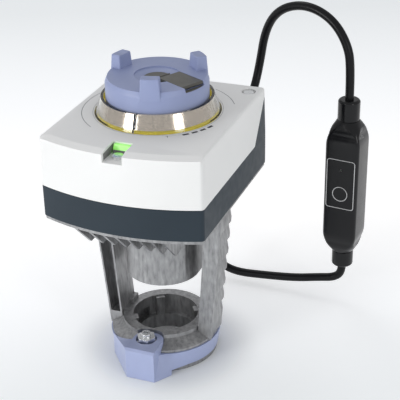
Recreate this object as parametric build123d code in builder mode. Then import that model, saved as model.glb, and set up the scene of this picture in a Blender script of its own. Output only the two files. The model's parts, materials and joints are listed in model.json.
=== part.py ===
from build123d import *
from math import acos, atan2, cos, degrees, hypot, pi, radians, sin, tan
import os

os.makedirs("parts", exist_ok=True)

# Electric actuator for a globe valve with a 20 mm stroke.
# Z runs up the valve stem's axis, the bulged front faces -Y, and z = 0 is the foot of the neck clamp.

# Housing
housing_width = 124.0
front_centre_y = -83.0
front_corner_y = -71.3
rear_y = 67.0
plan_corner_radius = 3.5
band_bottom_z = 142.3
band_height = 23.9
cover_height = 38.4
cover_draft = 1.6
wall = 3.0
split_gap = 0.4
kink_inset = 28.4
wing_inset = 2.6
wing_drop = 6.6
bevel_depth = 7.5
bevel_drop = 2.0
top_edge_radius = 2.0
seal_size = 1.6
moving_gap = 0.3
running_gap = 0.1
fit_gap = 0.02

# Front notch with the status light
notch_width = 15.0
notch_depth = 21.0
notch_drop = 7.6
light_length = 12.0
light_depth = 5.5
light_drop = 1.2

# Cover screws
screw_inset_x = 10.2
screw_inset_y = 13.5
screw_recess_radius = 5.6
screw_recess_depth = 3.0
screw_head_radius = 4.0
screw_head_height = 2.4
screw_shank_radius = 2.0
screw_post_radius = 4.5
screw_post_drop = 24.6
screw_grip = 10.0
front_screw_inset = 11.0

# Manual knob
knob_radius = 38.0
knob_rise = 27.4
knob_height = 19.0
knob_bevel_drop = 4.3
knob_bevel = 1.8
knob_skirt = 3.4
knob_plate_drop = 12.5
knob_hub_radius = 12.0
knob_hub_rise = 3.4
lug_height = 10.0
lug_foot_drop = 6.0
lug_inner_radius = 28.0
lug_width = 15.4
lug_draft = 4.0
lug_overhang = 0.4
lug_edge = 1.0
lug_angles = (-75.0, 45.0, 165.0)
dish_radius = 24.0
dish_depth = 0.6
rim_recess_radius = 16.8
rim_recess_depth = 3.0
rim_step = 1.0
grip_hole_radius = 10.6
grip_floor_drop = 10.4

# Crank that folds out of the knob
crank_angle = -28.0
crank_offset = 5.7
crank_width = 19.1
crank_thickness = 2.6
crank_start = 7.0
crank_slot_start = 5.0
crank_pin_reach = 31.8
crank_pin_radius = 0.7
crank_pin_grip = 1.0
crank_drop = 0.1
crank_rib_count = 3
crank_rib_pitch = 1.1
crank_rib_drop = 0.5
grip_radius = 9.6
grip_bottom_drop = 9.0
grip_top_drop = 2.0

# Position ring
ring_foot_radius = 46.0
ring_top_radius = 41.6
ring_height = 12.4
ring_wall = 2.0
ring_gap = 0.7
ring_flange_radius = 49.0
ring_flange_thickness = 2.0
glow_ring_inner_radius = 38.9
glow_ring_rise = 1.2
retainer_radius = 45.0
retainer_thickness = 2.0
ring_collar_wall = 2.0

# Spindle and its drive
spindle_stroke = 20.0
knob_turns = 8.0
screw_thread_radius = 5.9
nut_radius = 6.0
screw_length = 52.0
rod_radius = 7.0
rod_length = 58.0
rod_top_drop = 4.3
coupler_radius = 11.0
coupler_height = 22.0
rod_grip = 6.0
stem_bore_radius = 5.0
stem_bore_depth = 14.0
sleeve_radius = 8.0
sleeve_bore_radius = 6.3
sleeve_grip = 6.0
bearing_radius = 14.0
bearing_height = 4.2
bearing_groove = 1.2
guide_arm_wall = 3.0
bush_collar = 3.0
guide_rod_x = 18.0
guide_rod_radius = 3.0
guide_arm_drop = 18.0
guide_arm_thickness = 4.0
guide_arm_width = 10.0

# Gear train
gear_module = 1.0
main_teeth = 60
lay_pinion_teeth = 15
lay_gear_teeth = 45
motor_pinion_teeth = 12
main_gear_lift = 4.7
main_gear_thickness = 8.0
main_hub_radius = 10.5
main_hub_height = 18.0
lay_gear_lift = 3.0
lay_gear_thickness = 5.0
lay_angle = -135.0
motor_turn = -65.0
lay_axle_radius = 2.0
motor_radius = 18.5
motor_height = 14.2
motor_shaft_radius = 1.5
gear_plate_lift = 2.0
gear_plate_thickness = 2.0
post_radius = 3.2
inner_post_places = ((36.0, -12.0), (-5.0, 37.0))
outer_post_inset = 10.0
outer_post_y = -38.0
plate_bush_radius = 9.0
main_web_radius = 20.0
main_web_hole_radius = 5.0
lay_hub_radius = 4.5
motor_shaft_depth = 6.0
pinion_overhang = 0.5

# Gears that turn the position ring from the drive sleeve
sleeve_teeth = 20
index_wheel_teeth = 44
index_pinion_teeth = 16
ring_teeth = 80
index_wheel_lift = 3.0
index_wheel_thickness = 4.0
index_pinion_height = 7.0
ring_gear_height = 6.0

# Electronics
board_lift = 2.0
board_thickness = 1.6
board_rear_inset = 10.0
board_depth = 15.0
board_side_inset = 16.0
board_post_radius = 2.5
board_post_inset = 4.0
terminal_length = 40.0
terminal_depth = 10.0
terminal_height = 11.0
terminal_poles = 8
terminal_screw_radius = 1.6

# Cable entries in the rear wall
entry_xs = (30.0, -2.0, -34.0)
entry_rise = 20.7
entry_radius = 10.0
gland_hex = 24.0
gland_hex_depth = 6.0
gland_nose_radius = 8.5
gland_nose_length = 12.0
gland_insert_radius = 5.0
gland_nut_length = 16.0
gland_nut_radius = 11.6
locknut_depth = 3.5
cable_radius = 3.5

# Yoke casting
plate_inset = 0.7
plate_thickness = 2.5
rib_pitch = 9.6
rib_count = 8
rib_thickness = 2.0
rib_depth = 22.0
rib_front_y = -78.5
rib_rear_y = 62.0
boss_radius = 28.8
boss_wall = 4.0
boss_depth = 69.1
boss_floor = 5.3
boss_rear_y = 50.0
bush_wall = 4.0
plate_hole_radius = 10.0
leg_reference_z = 56.0
leg_inner_x = 34.8
leg_outer_x = 46.3
leg_inner_slope = 0.075
leg_outer_slope = 0.094
leg_half_depth = 12.7
ledge_count = 7
ledge_pitch = 14.0
ledge_drop = 11.8
ledge_depth = 2.4
ledge_rise = 11.0
ledge_front_y = -9.5
neck_top_z = 29.0
neck_outer_radius = 34.0
neck_bore_radius = 26.0
neck_seat_radius = 22.5
neck_seat_top_z = 12.0
platform_radius = 43.0
spigot_radius = 38.0
clamp_lug_height = 8.5
key_count = 4
key_angle = 33.0
key_radius = 22.5
key_width = 7.0
shoulder_height = 4.0
shoulder_x = 29.5
shoulder_front_y = 2.0
channel_depth = 14.0
channel_wall = 1.4
neck_window_angle = 160.0
neck_window_width = 14.0
neck_window_depth = 6.0
neck_window_height = 8.0
foot_flange_radius = 41.0
foot_flange_height = 3.8
foot_flange_start = -62.0
foot_flange_sweep = 90.0

# Neck clamp
clamp_rim_z = 18.0
clamp_rim_radius = 44.0
clamp_foot_radius = 41.4
clamp_lug_front_y = -55.5
clamp_lug_left_x = -11.0
clamp_lug_right_x = 12.5
clamp_lug_back_y = -28.2
clamp_lug_back_radius = 9.0
clamp_lug_edge = 1.8
bolt_x = -1.0
bolt_y = -37.5
bolt_recess_radius = 8.2
bolt_recess_depth = 4.0
bolt_flange_radius = 7.8
bolt_flange_height = 1.5
bolt_nut_width = 13.0
bolt_nut_height = 6.5
bolt_end_height = 9.5
bolt_edge = 0.6
bolt_shank_radius = 4.0
bolt_socket_width = 4.0

# In-line module on the cable
module_x = 116.0
module_y = 112.0
module_turn = -6.0
module_width = 28.5
module_depth = 27.0
module_body_bottom_z = 48.3
module_body_top_z = 167.0
module_shoulder = 11.0
module_corner = 3.2
module_shoulder_inset = 2.2
module_shoulder_corner = 7.0
module_collar_radius = 8.9
module_collar_top_z = 184.3
module_collar_bottom_z = 34.0
module_wall = 2.2
module_button_z = 105.8
module_button_radius = 6.2
button_set_back = 0.2
button_depth = 3.2
module_lamp_z = 127.0
module_lamp_radius = 1.0

# Cable routes, points chosen by hand
upper_route = [
    (30.0, 89.0, 163.0),
    (30.0, 110.0, 163.0),
    (30.7, 128.4, 173.9),
    (32.2, 139.0, 192.2),
    (37.9, 137.0, 226.4),
    (52.0, 131.0, 246.4),
    (75.5, 124.0, 254.0),
    (99.0, 117.0, 246.4),
    (113.5, 113.0, 226.4),
    (116.0, 112.0, 205.2),
    (116.0, 112.0, 184.3),
]
lower_route = [
    (116.0, 112.0, 34.0),
    (116.0, 112.0, 25.0),
    (109.5, 111.9, 18.8),
    (96.0, 111.7, 16.3),
    (76.0, 111.2, 12.0),
    (52.0, 110.5, 9.8),
    (17.0, 110.0, 7.5),
    (-1.2, 113.7, 17.4),
    (-11.7, 120.0, 34.5),
    (-10.5, 129.0, 59.5),
    (-7.5, 136.0, 95.0),
    (-2.8, 139.0, 134.0),
    (-2.4, 128.4, 152.4),
    (-2.0, 110.0, 163.0),
    (-2.0, 89.0, 163.0),
]

# Sizes that follow from the ones above
half_width = housing_width / 2
split_z = band_bottom_z + band_height
cover_top_z = split_z + cover_height
kink_y = rear_y - kink_inset
wing_top_y = rear_y - wing_inset
wing_top_z = cover_top_z - wing_drop
notch_back_y = front_centre_y + notch_depth
notch_floor_z = cover_top_z - notch_drop
light_top_z = cover_top_z - light_drop
screw_x = half_width - screw_inset_x
screw_y = rear_y - screw_inset_y
screw_post_top_z = cover_top_z - screw_post_drop
front_screw_y = front_centre_y + front_screw_inset
knob_top_z = cover_top_z + knob_rise
knob_bottom_z = knob_top_z - knob_height
knob_wall_top_z = knob_top_z - knob_bevel_drop
knob_plate_bottom_z = knob_top_z - knob_plate_drop
knob_hub_bottom_z = cover_top_z + knob_hub_rise
lug_top_z = knob_top_z + lug_height
lug_foot_z = knob_top_z - lug_foot_drop
grip_floor_z = knob_top_z - grip_floor_drop
crank_top_z = knob_top_z - crank_drop
crank_pin_z = crank_top_z - crank_thickness / 2
grip_bottom_z = knob_top_z - grip_bottom_drop
grip_top_z = knob_top_z - grip_top_drop
ring_top_z = cover_top_z + ring_height
glow_ring_top_z = cover_top_z + glow_ring_rise
cover_opening_radius = ring_foot_radius + ring_gap
front_bulge = front_corner_y - front_centre_y
front_arc_radius = (half_width**2 + front_bulge**2) / (2 * front_bulge)
front_arc_centre_y = front_centre_y + front_arc_radius
cavity_top_z = cover_top_z - wall
floor_top_z = band_bottom_z + wall
entry_z = band_bottom_z + entry_rise
rod_top_z = band_bottom_z - rod_top_drop
rod_bottom_z = rod_top_z - rod_length
screw_top_z = rod_top_z + screw_length
guide_arm_z = rod_top_z - guide_arm_drop
coupler_top_z = rod_bottom_z + rod_grip
coupler_bottom_z = coupler_top_z - coupler_height
main_gear_bottom_z = floor_top_z + main_gear_lift
main_hub_top_z = main_gear_bottom_z + main_hub_height
lay_gear_bottom_z = main_gear_bottom_z + main_gear_thickness + lay_gear_lift
sleeve_seat_z = main_hub_top_z - sleeve_grip
gear_plate_z = main_hub_top_z + gear_plate_lift
index_wheel_bottom_z = gear_plate_z + gear_plate_thickness + index_wheel_lift
board_half_width = half_width - board_side_inset
board_rear_y = rear_y - board_rear_inset
board_front_y = board_rear_y - board_depth
post_places = (*inner_post_places, (outer_post_inset - half_width, outer_post_y))
bush_radius = coupler_radius + bush_wall
clamp_lug_top_z = clamp_rim_z + clamp_lug_height
plate_bottom_z = band_bottom_z - plate_thickness
boss_bottom_z = plate_bottom_z - boss_depth
ledge_top_z = plate_bottom_z - ledge_drop
ring_flange_bottom_z = cavity_top_z - moving_gap - ring_flange_thickness
rear_inner_y = rear_y - wall
board_z = floor_top_z + board_lift
hub_bottom_z = band_bottom_z + bearing_height + moving_gap
sleeve_top_z = knob_plate_bottom_z
lay_reach = gear_module * (main_teeth + lay_pinion_teeth) / 2
motor_reach = gear_module * (lay_gear_teeth + motor_pinion_teeth) / 2
lay_x = lay_reach * cos(radians(lay_angle))
lay_y = lay_reach * sin(radians(lay_angle))
motor_x = lay_x + motor_reach * cos(radians(motor_turn))
motor_y = lay_y + motor_reach * sin(radians(motor_turn))
motor_top_z = floor_top_z + motor_height
crank_slot_floor_z = crank_pin_z - crank_thickness / 2 - moving_gap
ring_gear_bottom_z = ring_flange_bottom_z - ring_gear_height
index_reach = gear_module * (sleeve_teeth + index_wheel_teeth) / 2
index_angle = degrees(atan2(inner_post_places[0][1], inner_post_places[0][0]))
index_x = index_reach * cos(radians(index_angle))
index_y = index_reach * sin(radians(index_angle))
index_top_z = ring_flange_bottom_z - moving_gap
ring_collar_radius = ring_flange_radius + moving_gap
retainer_bottom_z = ring_flange_bottom_z - moving_gap - retainer_thickness
gland_face_y = rear_y + gland_hex_depth
gland_end_y = gland_face_y + gland_nut_length
front_inner_y = front_centre_y + wall + 1
screw_places = ((-screw_x, screw_y), (screw_x, screw_y), (0, front_screw_y))
module_across = (cos(radians(module_turn)), sin(radians(module_turn)), 0)
module_plane = Plane(origin=(module_x, module_y, 0), x_dir=module_across, z_dir=(0, 0, 1))
module_front_normal = (sin(radians(module_turn)), -cos(radians(module_turn)), 0)


def save(piece, name):
    """Name a finished piece and write it."""
    piece.part.label = name
    export_step(piece.part, f"parts/{name}.step")


def housing_plan(inset):
    """Plan of the housing with its bulged front, pulled in by inset."""
    with BuildSketch() as plan:
        with BuildLine():
            ThreePointArc(
                (-half_width, front_corner_y), (0, front_centre_y), (half_width, front_corner_y)
            )
            Polyline(
                (half_width, front_corner_y),
                (half_width, rear_y),
                (-half_width, rear_y),
                (-half_width, front_corner_y),
            )
        make_face()
        fillet(plan.vertices(), plan_corner_radius)
        if inset > 0:
            offset(amount=-inset, kind=Kind.INTERSECTION)
    return plan.sketch


def split_side(drop):
    """Side view of the space above the split line, moved down by drop, at the far left."""
    far = housing_width
    with BuildSketch(Plane.YZ.offset(-far)) as side:
        with BuildLine():
            Polyline(
                (-far, split_z - drop),
                (kink_y + drop / 2, split_z - drop),
                (wing_top_y + drop / 2, wing_top_z - drop),
                (far, wing_top_z - drop),
                (far, cover_top_z + far),
                (-far, cover_top_z + far),
                close=True,
            )
        make_face()
    return side.sketch


def housing_block():
    """The closed outer shape of base and cover together."""
    plan = housing_plan(0)
    with BuildPart() as block:
        with BuildSketch(Plane.XY.offset(band_bottom_z)):
            add(plan)
        extrude(amount=split_z - band_bottom_z)
        with BuildSketch(Plane.XY.offset(split_z)):
            add(plan)
        extrude(amount=cover_top_z - split_z, taper=cover_draft)
        with BuildSketch(Plane.XZ.offset(-front_arc_centre_y)):
            Polygon(
                (front_arc_radius - bevel_depth, cover_top_z),
                (front_arc_radius, cover_top_z - bevel_drop),
                (front_arc_radius + wall, cover_top_z - bevel_drop),
                (front_arc_radius + wall, cover_top_z + wall),
                (front_arc_radius - bevel_depth, cover_top_z + wall),
                align=None,
            )
        revolve(axis=Axis((0, front_arc_centre_y, 0), (0, 0, 1)), mode=Mode.SUBTRACT)
        fillet(block.edges().filter_by(Axis.Y).group_by(Axis.Z)[-1], top_edge_radius)
    return block.part


def hexagon_radius(across_flats):
    """Circumscribed radius of a hexagon from its width across flats."""
    return across_flats / 2 / cos(radians(30))


def gear_tooth(pitch_radius, way):
    """One straight-flanked tooth on the x axis, pointing out with way 1 and in with way -1."""
    root_radius = pitch_radius - way * 1.75 * gear_module
    tip_radius = pitch_radius + way * 0.92 * gear_module
    root_half = 0.82 * gear_module
    pitch_half = 0.66 * gear_module
    tip_half = 0.32 * gear_module
    with BuildSketch() as tooth:
        Polygon(
            (root_radius, -root_half),
            (pitch_radius, -pitch_half),
            (tip_radius, -tip_half),
            (tip_radius, tip_half),
            (pitch_radius, pitch_half),
            (root_radius, root_half),
            align=None,
        )
    return tooth.sketch


def gear(teeth, bottom_z, thickness, bore_radius, phase):
    """Spur gear on the z axis with some backlash in its teeth."""
    pitch_radius = gear_module * teeth / 2
    with BuildPart() as wheel:
        with BuildSketch(Plane.XY.offset(bottom_z)):
            Circle(pitch_radius - 1.25 * gear_module)
            with PolarLocations(0, teeth, start_angle=phase):
                add(gear_tooth(pitch_radius, 1))
            Circle(bore_radius, mode=Mode.SUBTRACT)
        extrude(amount=thickness)
    return wheel.part


def cylinder_at(x, y, bottom_z, radius, height, mode=Mode.ADD):
    """Upright cylinder standing at x, y, bottom_z."""
    with Locations((x, y, bottom_z)):
        Cylinder(radius, height, align=(Align.CENTER, Align.CENTER, Align.MIN), mode=mode)


def block_between(low, high, mode=Mode.ADD):
    """Box between two opposite corners."""
    with Locations(low):
        Box(
            high[0] - low[0],
            high[1] - low[1],
            high[2] - low[2],
            align=(Align.MIN, Align.MIN, Align.MIN),
            mode=mode,
        )


# Shapes that several pieces share
outer_block = housing_block()
outer_plan = housing_plan(0)
inner_plan = housing_plan(wall)
above_base = split_side(0)
above_gap = split_side(-split_gap)
seal_plan = housing_plan(wall / 2 - seal_size / 2)
seal_hole_plan = housing_plan(wall / 2 + seal_size / 2)

# Housing base: dark band whose rear wall climbs up behind the cover
with BuildPart() as housing_base:
    add(outer_block)
    with BuildSketch(Plane.XY.offset(floor_top_z)):
        add(inner_plan)
    extrude(amount=cover_top_z, mode=Mode.SUBTRACT)
    extrude(above_base, amount=2 * housing_width, mode=Mode.SUBTRACT)
    cylinder_at(0, 0, band_bottom_z, bearing_radius + moving_gap, wall, mode=Mode.SUBTRACT)
    for entry_x in entry_xs:
        with Locations(Plane((entry_x, rear_inner_y, entry_z), z_dir=(0, 1, 0))):
            Cylinder(
                entry_radius + running_gap,
                2 * wall,
                align=(Align.CENTER, Align.CENTER, Align.MIN),
                mode=Mode.SUBTRACT,
            )
    for post_x in (board_post_inset - board_half_width, board_half_width - board_post_inset):
        for post_y in (board_front_y + board_post_inset, board_rear_y - board_post_inset):
            cylinder_at(post_x, post_y, floor_top_z, board_post_radius, board_lift)
    for post_x, post_y in screw_places:
        cylinder_at(post_x, post_y, floor_top_z, screw_post_radius, screw_post_top_z - floor_top_z)
        cylinder_at(
            post_x,
            post_y,
            screw_post_top_z - screw_grip,
            screw_shank_radius,
            screw_grip,
            mode=Mode.SUBTRACT,
        )
save(housing_base, "housing_base")

# Cover: white shell with the round opening for the position ring and a notch at the front
with BuildPart(mode=Mode.PRIVATE) as upper_space:
    extrude(above_gap, amount=2 * housing_width)
with BuildPart() as housing_cover:
    add(outer_block)
    with BuildSketch(Plane.XY.offset(band_bottom_z)):
        add(inner_plan)
    extrude(amount=cavity_top_z - band_bottom_z, taper=0.6, mode=Mode.SUBTRACT)
    add(upper_space.part, mode=Mode.INTERSECT)
    with BuildSketch(Plane.XY.offset(retainer_bottom_z)):
        Circle(ring_collar_radius + ring_collar_wall)
        Circle(ring_collar_radius, mode=Mode.SUBTRACT)
    extrude(amount=cavity_top_z - retainer_bottom_z)
    cylinder_at(0, 0, cavity_top_z - wall, cover_opening_radius, 3 * wall, mode=Mode.SUBTRACT)
    block_between(
        (-notch_width / 2 - wall / 2, front_inner_y, notch_floor_z - wall / 2),
        (notch_width / 2 + wall / 2, notch_back_y + wall / 2, cavity_top_z + wall / 2),
    )
    block_between(
        (-notch_width / 2, front_centre_y - wall, notch_floor_z),
        (notch_width / 2, notch_back_y, cover_top_z + wall),
        mode=Mode.SUBTRACT,
    )
    for post_x, post_y in screw_places[:2]:
        cylinder_at(
            post_x,
            post_y,
            screw_post_top_z + moving_gap,
            screw_recess_radius + 1,
            cavity_top_z - screw_post_top_z,
        )
        cylinder_at(
            post_x,
            post_y,
            cover_top_z - screw_recess_depth,
            screw_recess_radius,
            cover_top_z,
            mode=Mode.SUBTRACT,
        )
    for post_x, post_y in screw_places:
        cylinder_at(
            post_x,
            post_y,
            split_z,
            screw_shank_radius + running_gap,
            cover_top_z,
            mode=Mode.SUBTRACT,
        )
save(housing_cover, "housing_cover")

# Seal in the split between base and cover
with BuildPart() as cover_seal:
    with BuildSketch(Plane.XY.offset(split_z)):
        add(seal_plan)
        add(seal_hole_plan, mode=Mode.SUBTRACT)
    extrude(amount=split_gap)
    extrude(above_base, amount=2 * housing_width, mode=Mode.INTERSECT)
save(cover_seal, "cover_seal")

# Screws that hold the cover: two at the rear, one in the front notch
with BuildPart() as cover_screws:
    for post_x, post_y in screw_places:
        seat_z = cover_top_z - screw_recess_depth
        if post_y < 0:
            seat_z = notch_floor_z
        cylinder_at(post_x, post_y, seat_z, screw_head_radius, screw_head_height)
        cylinder_at(
            post_x,
            post_y,
            screw_post_top_z - screw_grip,
            screw_shank_radius,
            seat_z - screw_post_top_z + screw_grip,
        )
    chamfer(cover_screws.faces().sort_by(Axis.Z)[-1].edges(), screw_head_height / 4)
save(cover_screws, "cover_screws")

# Green light window that leans out of the notch
with BuildPart() as status_light:
    with BuildSketch(Plane.YZ.offset(-light_length / 2)):
        Polygon(
            (notch_back_y - moving_gap, notch_floor_z),
            (notch_back_y - moving_gap, light_top_z),
            (notch_back_y - light_depth / 2, light_top_z),
            (notch_back_y - light_depth, notch_floor_z),
            align=None,
        )
    extrude(amount=light_length)
save(status_light, "status_light")

# Position ring: clear flared ring held under the rim of the cover's opening
with BuildPart() as position_ring:
    with BuildSketch(Plane.XZ):
        with BuildLine():
            Polyline(
                (ring_foot_radius, ring_flange_bottom_z + ring_flange_thickness),
                (ring_foot_radius, cover_top_z),
                (ring_top_radius, ring_top_z),
                (ring_top_radius - ring_wall, ring_top_z),
                (ring_foot_radius - ring_wall, cover_top_z),
                (ring_foot_radius - ring_wall, ring_flange_bottom_z),
                (ring_flange_radius, ring_flange_bottom_z),
                (ring_flange_radius, ring_flange_bottom_z + ring_flange_thickness),
                close=True,
            )
        make_face()
    revolve(axis=Axis.Z)
save(position_ring, "position_ring")

# Yellow glow ring inside the clear ring
with BuildPart() as glow_ring:
    with BuildSketch(Plane.XZ):
        Polygon(
            (glow_ring_inner_radius, ring_flange_bottom_z),
            (ring_foot_radius - ring_wall - fit_gap, ring_flange_bottom_z),
            (ring_foot_radius - ring_wall - fit_gap, cover_top_z),
            (glow_ring_inner_radius, glow_ring_top_z),
            align=None,
        )
    revolve(axis=Axis.Z)
save(glow_ring, "glow_ring")

# Ring with internal teeth under the glow ring
with BuildPart() as ring_gear:
    ring_pitch_radius = gear_module * ring_teeth / 2
    ring_root_radius = ring_pitch_radius + 1.25 * gear_module
    with BuildSketch(Plane.XY.offset(ring_gear_bottom_z)):
        Circle(ring_foot_radius - ring_wall - fit_gap)
        Circle(ring_root_radius, mode=Mode.SUBTRACT)
        with PolarLocations(0, ring_teeth, start_angle=index_angle + 180 / ring_teeth):
            add(gear_tooth(ring_pitch_radius, -1))
    extrude(amount=ring_gear_height)
save(ring_gear, "ring_gear")

# Retainer pressed into the cover's collar, under the position ring's flange
with BuildPart() as ring_retainer:
    with BuildSketch(Plane.XY.offset(retainer_bottom_z)):
        Circle(ring_collar_radius - fit_gap)
        Circle(retainer_radius, mode=Mode.SUBTRACT)
    extrude(amount=retainer_thickness)
save(ring_retainer, "ring_retainer")


def knob_lug():
    """One lug of the knob at angle zero, with rounded edges and a shallow dish for a finger."""
    outer_radius = knob_radius + lug_overhang
    with BuildSketch(Plane.XY.offset(lug_foot_z)) as plan:
        with Locations((lug_inner_radius, 0)):
            Rectangle(
                2 * (outer_radius - lug_inner_radius), lug_width, align=(Align.MIN, Align.CENTER)
            )
        Circle(outer_radius, mode=Mode.INTERSECT)
    with BuildPart() as lug:
        extrude(plan.sketch, amount=lug_top_z - lug_foot_z, taper=lug_draft)
        fillet(lug.edges() - lug.faces().sort_by(Axis.Z)[0].edges(), lug_edge)
        dish_x = (lug_inner_radius + outer_radius) / 2
        with Locations((dish_x, 0, lug_top_z + dish_radius - dish_depth)):
            Sphere(dish_radius, mode=Mode.SUBTRACT)
    return lug.part


# Knob: thick disc with a bevelled rim, three lugs and a slot for the crank
lug_at_zero = knob_lug()
with BuildPart() as knob:
    with BuildSketch(Plane.XZ):
        with BuildLine():
            Polyline(
                (0, grip_floor_z),
                (grip_hole_radius, grip_floor_z),
                (grip_hole_radius, knob_top_z - rim_recess_depth),
                (rim_recess_radius, knob_top_z - rim_step),
                (rim_recess_radius, knob_top_z),
                (knob_radius - knob_bevel, knob_top_z),
                (knob_radius, knob_wall_top_z),
                (knob_radius, knob_bottom_z),
                (knob_radius - knob_skirt, knob_bottom_z),
                (knob_radius - knob_skirt, knob_plate_bottom_z),
                (knob_hub_radius, knob_plate_bottom_z),
                (knob_hub_radius, knob_hub_bottom_z),
                (sleeve_radius + fit_gap, knob_hub_bottom_z),
                (sleeve_radius + fit_gap, knob_plate_bottom_z),
                (0, knob_plate_bottom_z),
                close=True,
            )
        make_face()
    revolve(axis=Axis.Z)
    for lug_angle in lug_angles:
        add(lug_at_zero.rotate(Axis.Z, lug_angle))
    with Locations(Location((0, 0, crank_slot_floor_z), (0, 0, crank_angle))):
        with Locations((crank_slot_start, crank_offset, 0)):
            Box(
                knob_radius,
                crank_width + 2 * moving_gap,
                knob_top_z - crank_slot_floor_z,
                align=(Align.MIN, Align.CENTER, Align.MIN),
                mode=Mode.SUBTRACT,
            )
    with Locations(Location((0, 0, crank_pin_z), (0, 0, crank_angle))):
        with Locations(Location((crank_pin_reach, crank_offset, 0), (90, 0, 0))):
            Cylinder(
                crank_pin_radius,
                crank_width + 2 * crank_pin_grip,
                mode=Mode.SUBTRACT,
            )
save(knob, "knob")

# Pin that the crank turns on
with BuildPart() as crank_pin:
    with Locations(Location((0, 0, crank_pin_z), (0, 0, crank_angle))):
        with Locations(Location((crank_pin_reach, crank_offset, 0), (90, 0, 0))):
            Cylinder(crank_pin_radius, crank_width + 2 * crank_pin_grip)
save(crank_pin, "crank_pin")

# Crank: flat arm with a round, ribbed grip that sits in the knob's central recess
with BuildPart() as crank:
    with BuildSketch(Plane.XY.offset(grip_top_z)):
        for rib in range(1, crank_rib_count + 1):
            with Locations((crank_start - rib * crank_rib_pitch, crank_offset)):
                Rectangle(crank_rib_pitch / 2, crank_width)
        Circle(grip_radius, mode=Mode.INTERSECT)
    extrude(amount=crank_top_z - grip_top_z - crank_rib_drop)
    cylinder_at(0, 0, grip_bottom_z, grip_radius, grip_top_z - grip_bottom_z)
    with BuildSketch(Plane.XZ.offset(-crank_offset - crank_width / 2)):
        with BuildLine():
            crank_low_z = crank_pin_z - crank_thickness / 2
            Polyline(
                (crank_pin_reach, crank_top_z),
                (crank_start, crank_top_z),
                (crank_start, crank_low_z),
                (crank_pin_reach, crank_low_z),
            )
            ThreePointArc(
                (crank_pin_reach, crank_low_z),
                (crank_pin_reach + crank_thickness / 2, crank_pin_z),
                (crank_pin_reach, crank_top_z),
            )
        make_face()
        with Locations((crank_pin_reach, crank_pin_z)):
            Circle(crank_pin_radius + running_gap / 2, mode=Mode.SUBTRACT)
    extrude(amount=crank_width)
crank.part = crank.part.rotate(Axis.Z, crank_angle)
save(crank, "crank")

# Main gear with the spindle nut in its hub
main_wheel = gear(main_teeth, main_gear_bottom_z, main_gear_thickness, nut_radius, lay_angle)
with BuildPart() as main_gear:
    add(main_wheel)
    cylinder_at(0, 0, hub_bottom_z, main_hub_radius, main_hub_top_z - hub_bottom_z)
    cylinder_at(0, 0, hub_bottom_z, nut_radius, main_hub_top_z, mode=Mode.SUBTRACT)
    cylinder_at(0, 0, sleeve_seat_z, sleeve_radius + fit_gap, main_hub_top_z, mode=Mode.SUBTRACT)
    with PolarLocations(main_web_radius, 6):
        Cylinder(main_web_hole_radius, 2 * cover_top_z, mode=Mode.SUBTRACT)
save(main_gear, "main_gear")

# Hollow sleeve that carries the knob's turning down to the main gear, with teeth for the index gear
sleeve_wheel = gear(
    sleeve_teeth,
    index_wheel_bottom_z - pinion_overhang,
    index_wheel_thickness + 2 * pinion_overhang,
    sleeve_bore_radius,
    index_angle,
)
with BuildPart() as drive_sleeve:
    add(sleeve_wheel)
    cylinder_at(0, 0, sleeve_seat_z, sleeve_radius, sleeve_top_z - sleeve_seat_z)
    cylinder_at(
        0,
        0,
        sleeve_seat_z,
        sleeve_bore_radius,
        screw_top_z + 2 - sleeve_seat_z,
        mode=Mode.SUBTRACT,
    )
save(drive_sleeve, "drive_sleeve")

# Spindle: screw above, smooth rod below
with BuildPart() as spindle:
    cylinder_at(0, 0, rod_bottom_z, rod_radius, rod_top_z - rod_bottom_z)
    cylinder_at(0, 0, rod_top_z, screw_thread_radius, screw_top_z - rod_top_z)
    chamfer(spindle.faces().sort_by(Axis.Z)[-1].edges(), 1)
save(spindle, "spindle")

# Coupler that takes the valve stem
with BuildPart() as stem_coupler:
    cylinder_at(0, 0, coupler_bottom_z, coupler_radius, coupler_top_z - coupler_bottom_z)
    cylinder_at(0, 0, rod_bottom_z, rod_radius + fit_gap, coupler_top_z, mode=Mode.SUBTRACT)
    cylinder_at(0, 0, coupler_bottom_z, stem_bore_radius, stem_bore_depth, mode=Mode.SUBTRACT)
    chamfer(stem_coupler.faces().sort_by(Axis.Z)[0].outer_wire().edges(), 1)
save(stem_coupler, "stem_coupler")

# Arm on the spindle that slides on the guide rod and stops the spindle turning
with BuildPart() as guide_arm:
    with BuildSketch(Plane.XY.offset(guide_arm_z)):
        Circle(rod_radius + guide_arm_wall)
        Rectangle(guide_rod_x, guide_arm_width, align=(Align.MIN, Align.CENTER))
        with Locations((guide_rod_x, 0)):
            Circle(guide_rod_radius + guide_arm_wall)
            Circle(guide_rod_radius + running_gap, mode=Mode.SUBTRACT)
        Circle(rod_radius + fit_gap, mode=Mode.SUBTRACT)
    extrude(amount=guide_arm_thickness)
save(guide_arm, "guide_arm")

with BuildPart() as guide_rod:
    cylinder_at(
        guide_rod_x,
        0,
        boss_bottom_z + boss_floor,
        guide_rod_radius,
        plate_bottom_z - boss_bottom_z - boss_floor,
    )
save(guide_rod, "guide_rod")

# Bush in the floor of the casting's cup
with BuildPart() as guide_bush:
    cylinder_at(0, 0, boss_bottom_z, bush_radius, boss_floor)
    cylinder_at(0, 0, boss_bottom_z + boss_floor, bush_radius - 1, bush_collar)
    cylinder_at(0, 0, 0, coupler_radius + running_gap, cover_top_z, mode=Mode.SUBTRACT)
save(guide_bush, "guide_bush")

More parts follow.
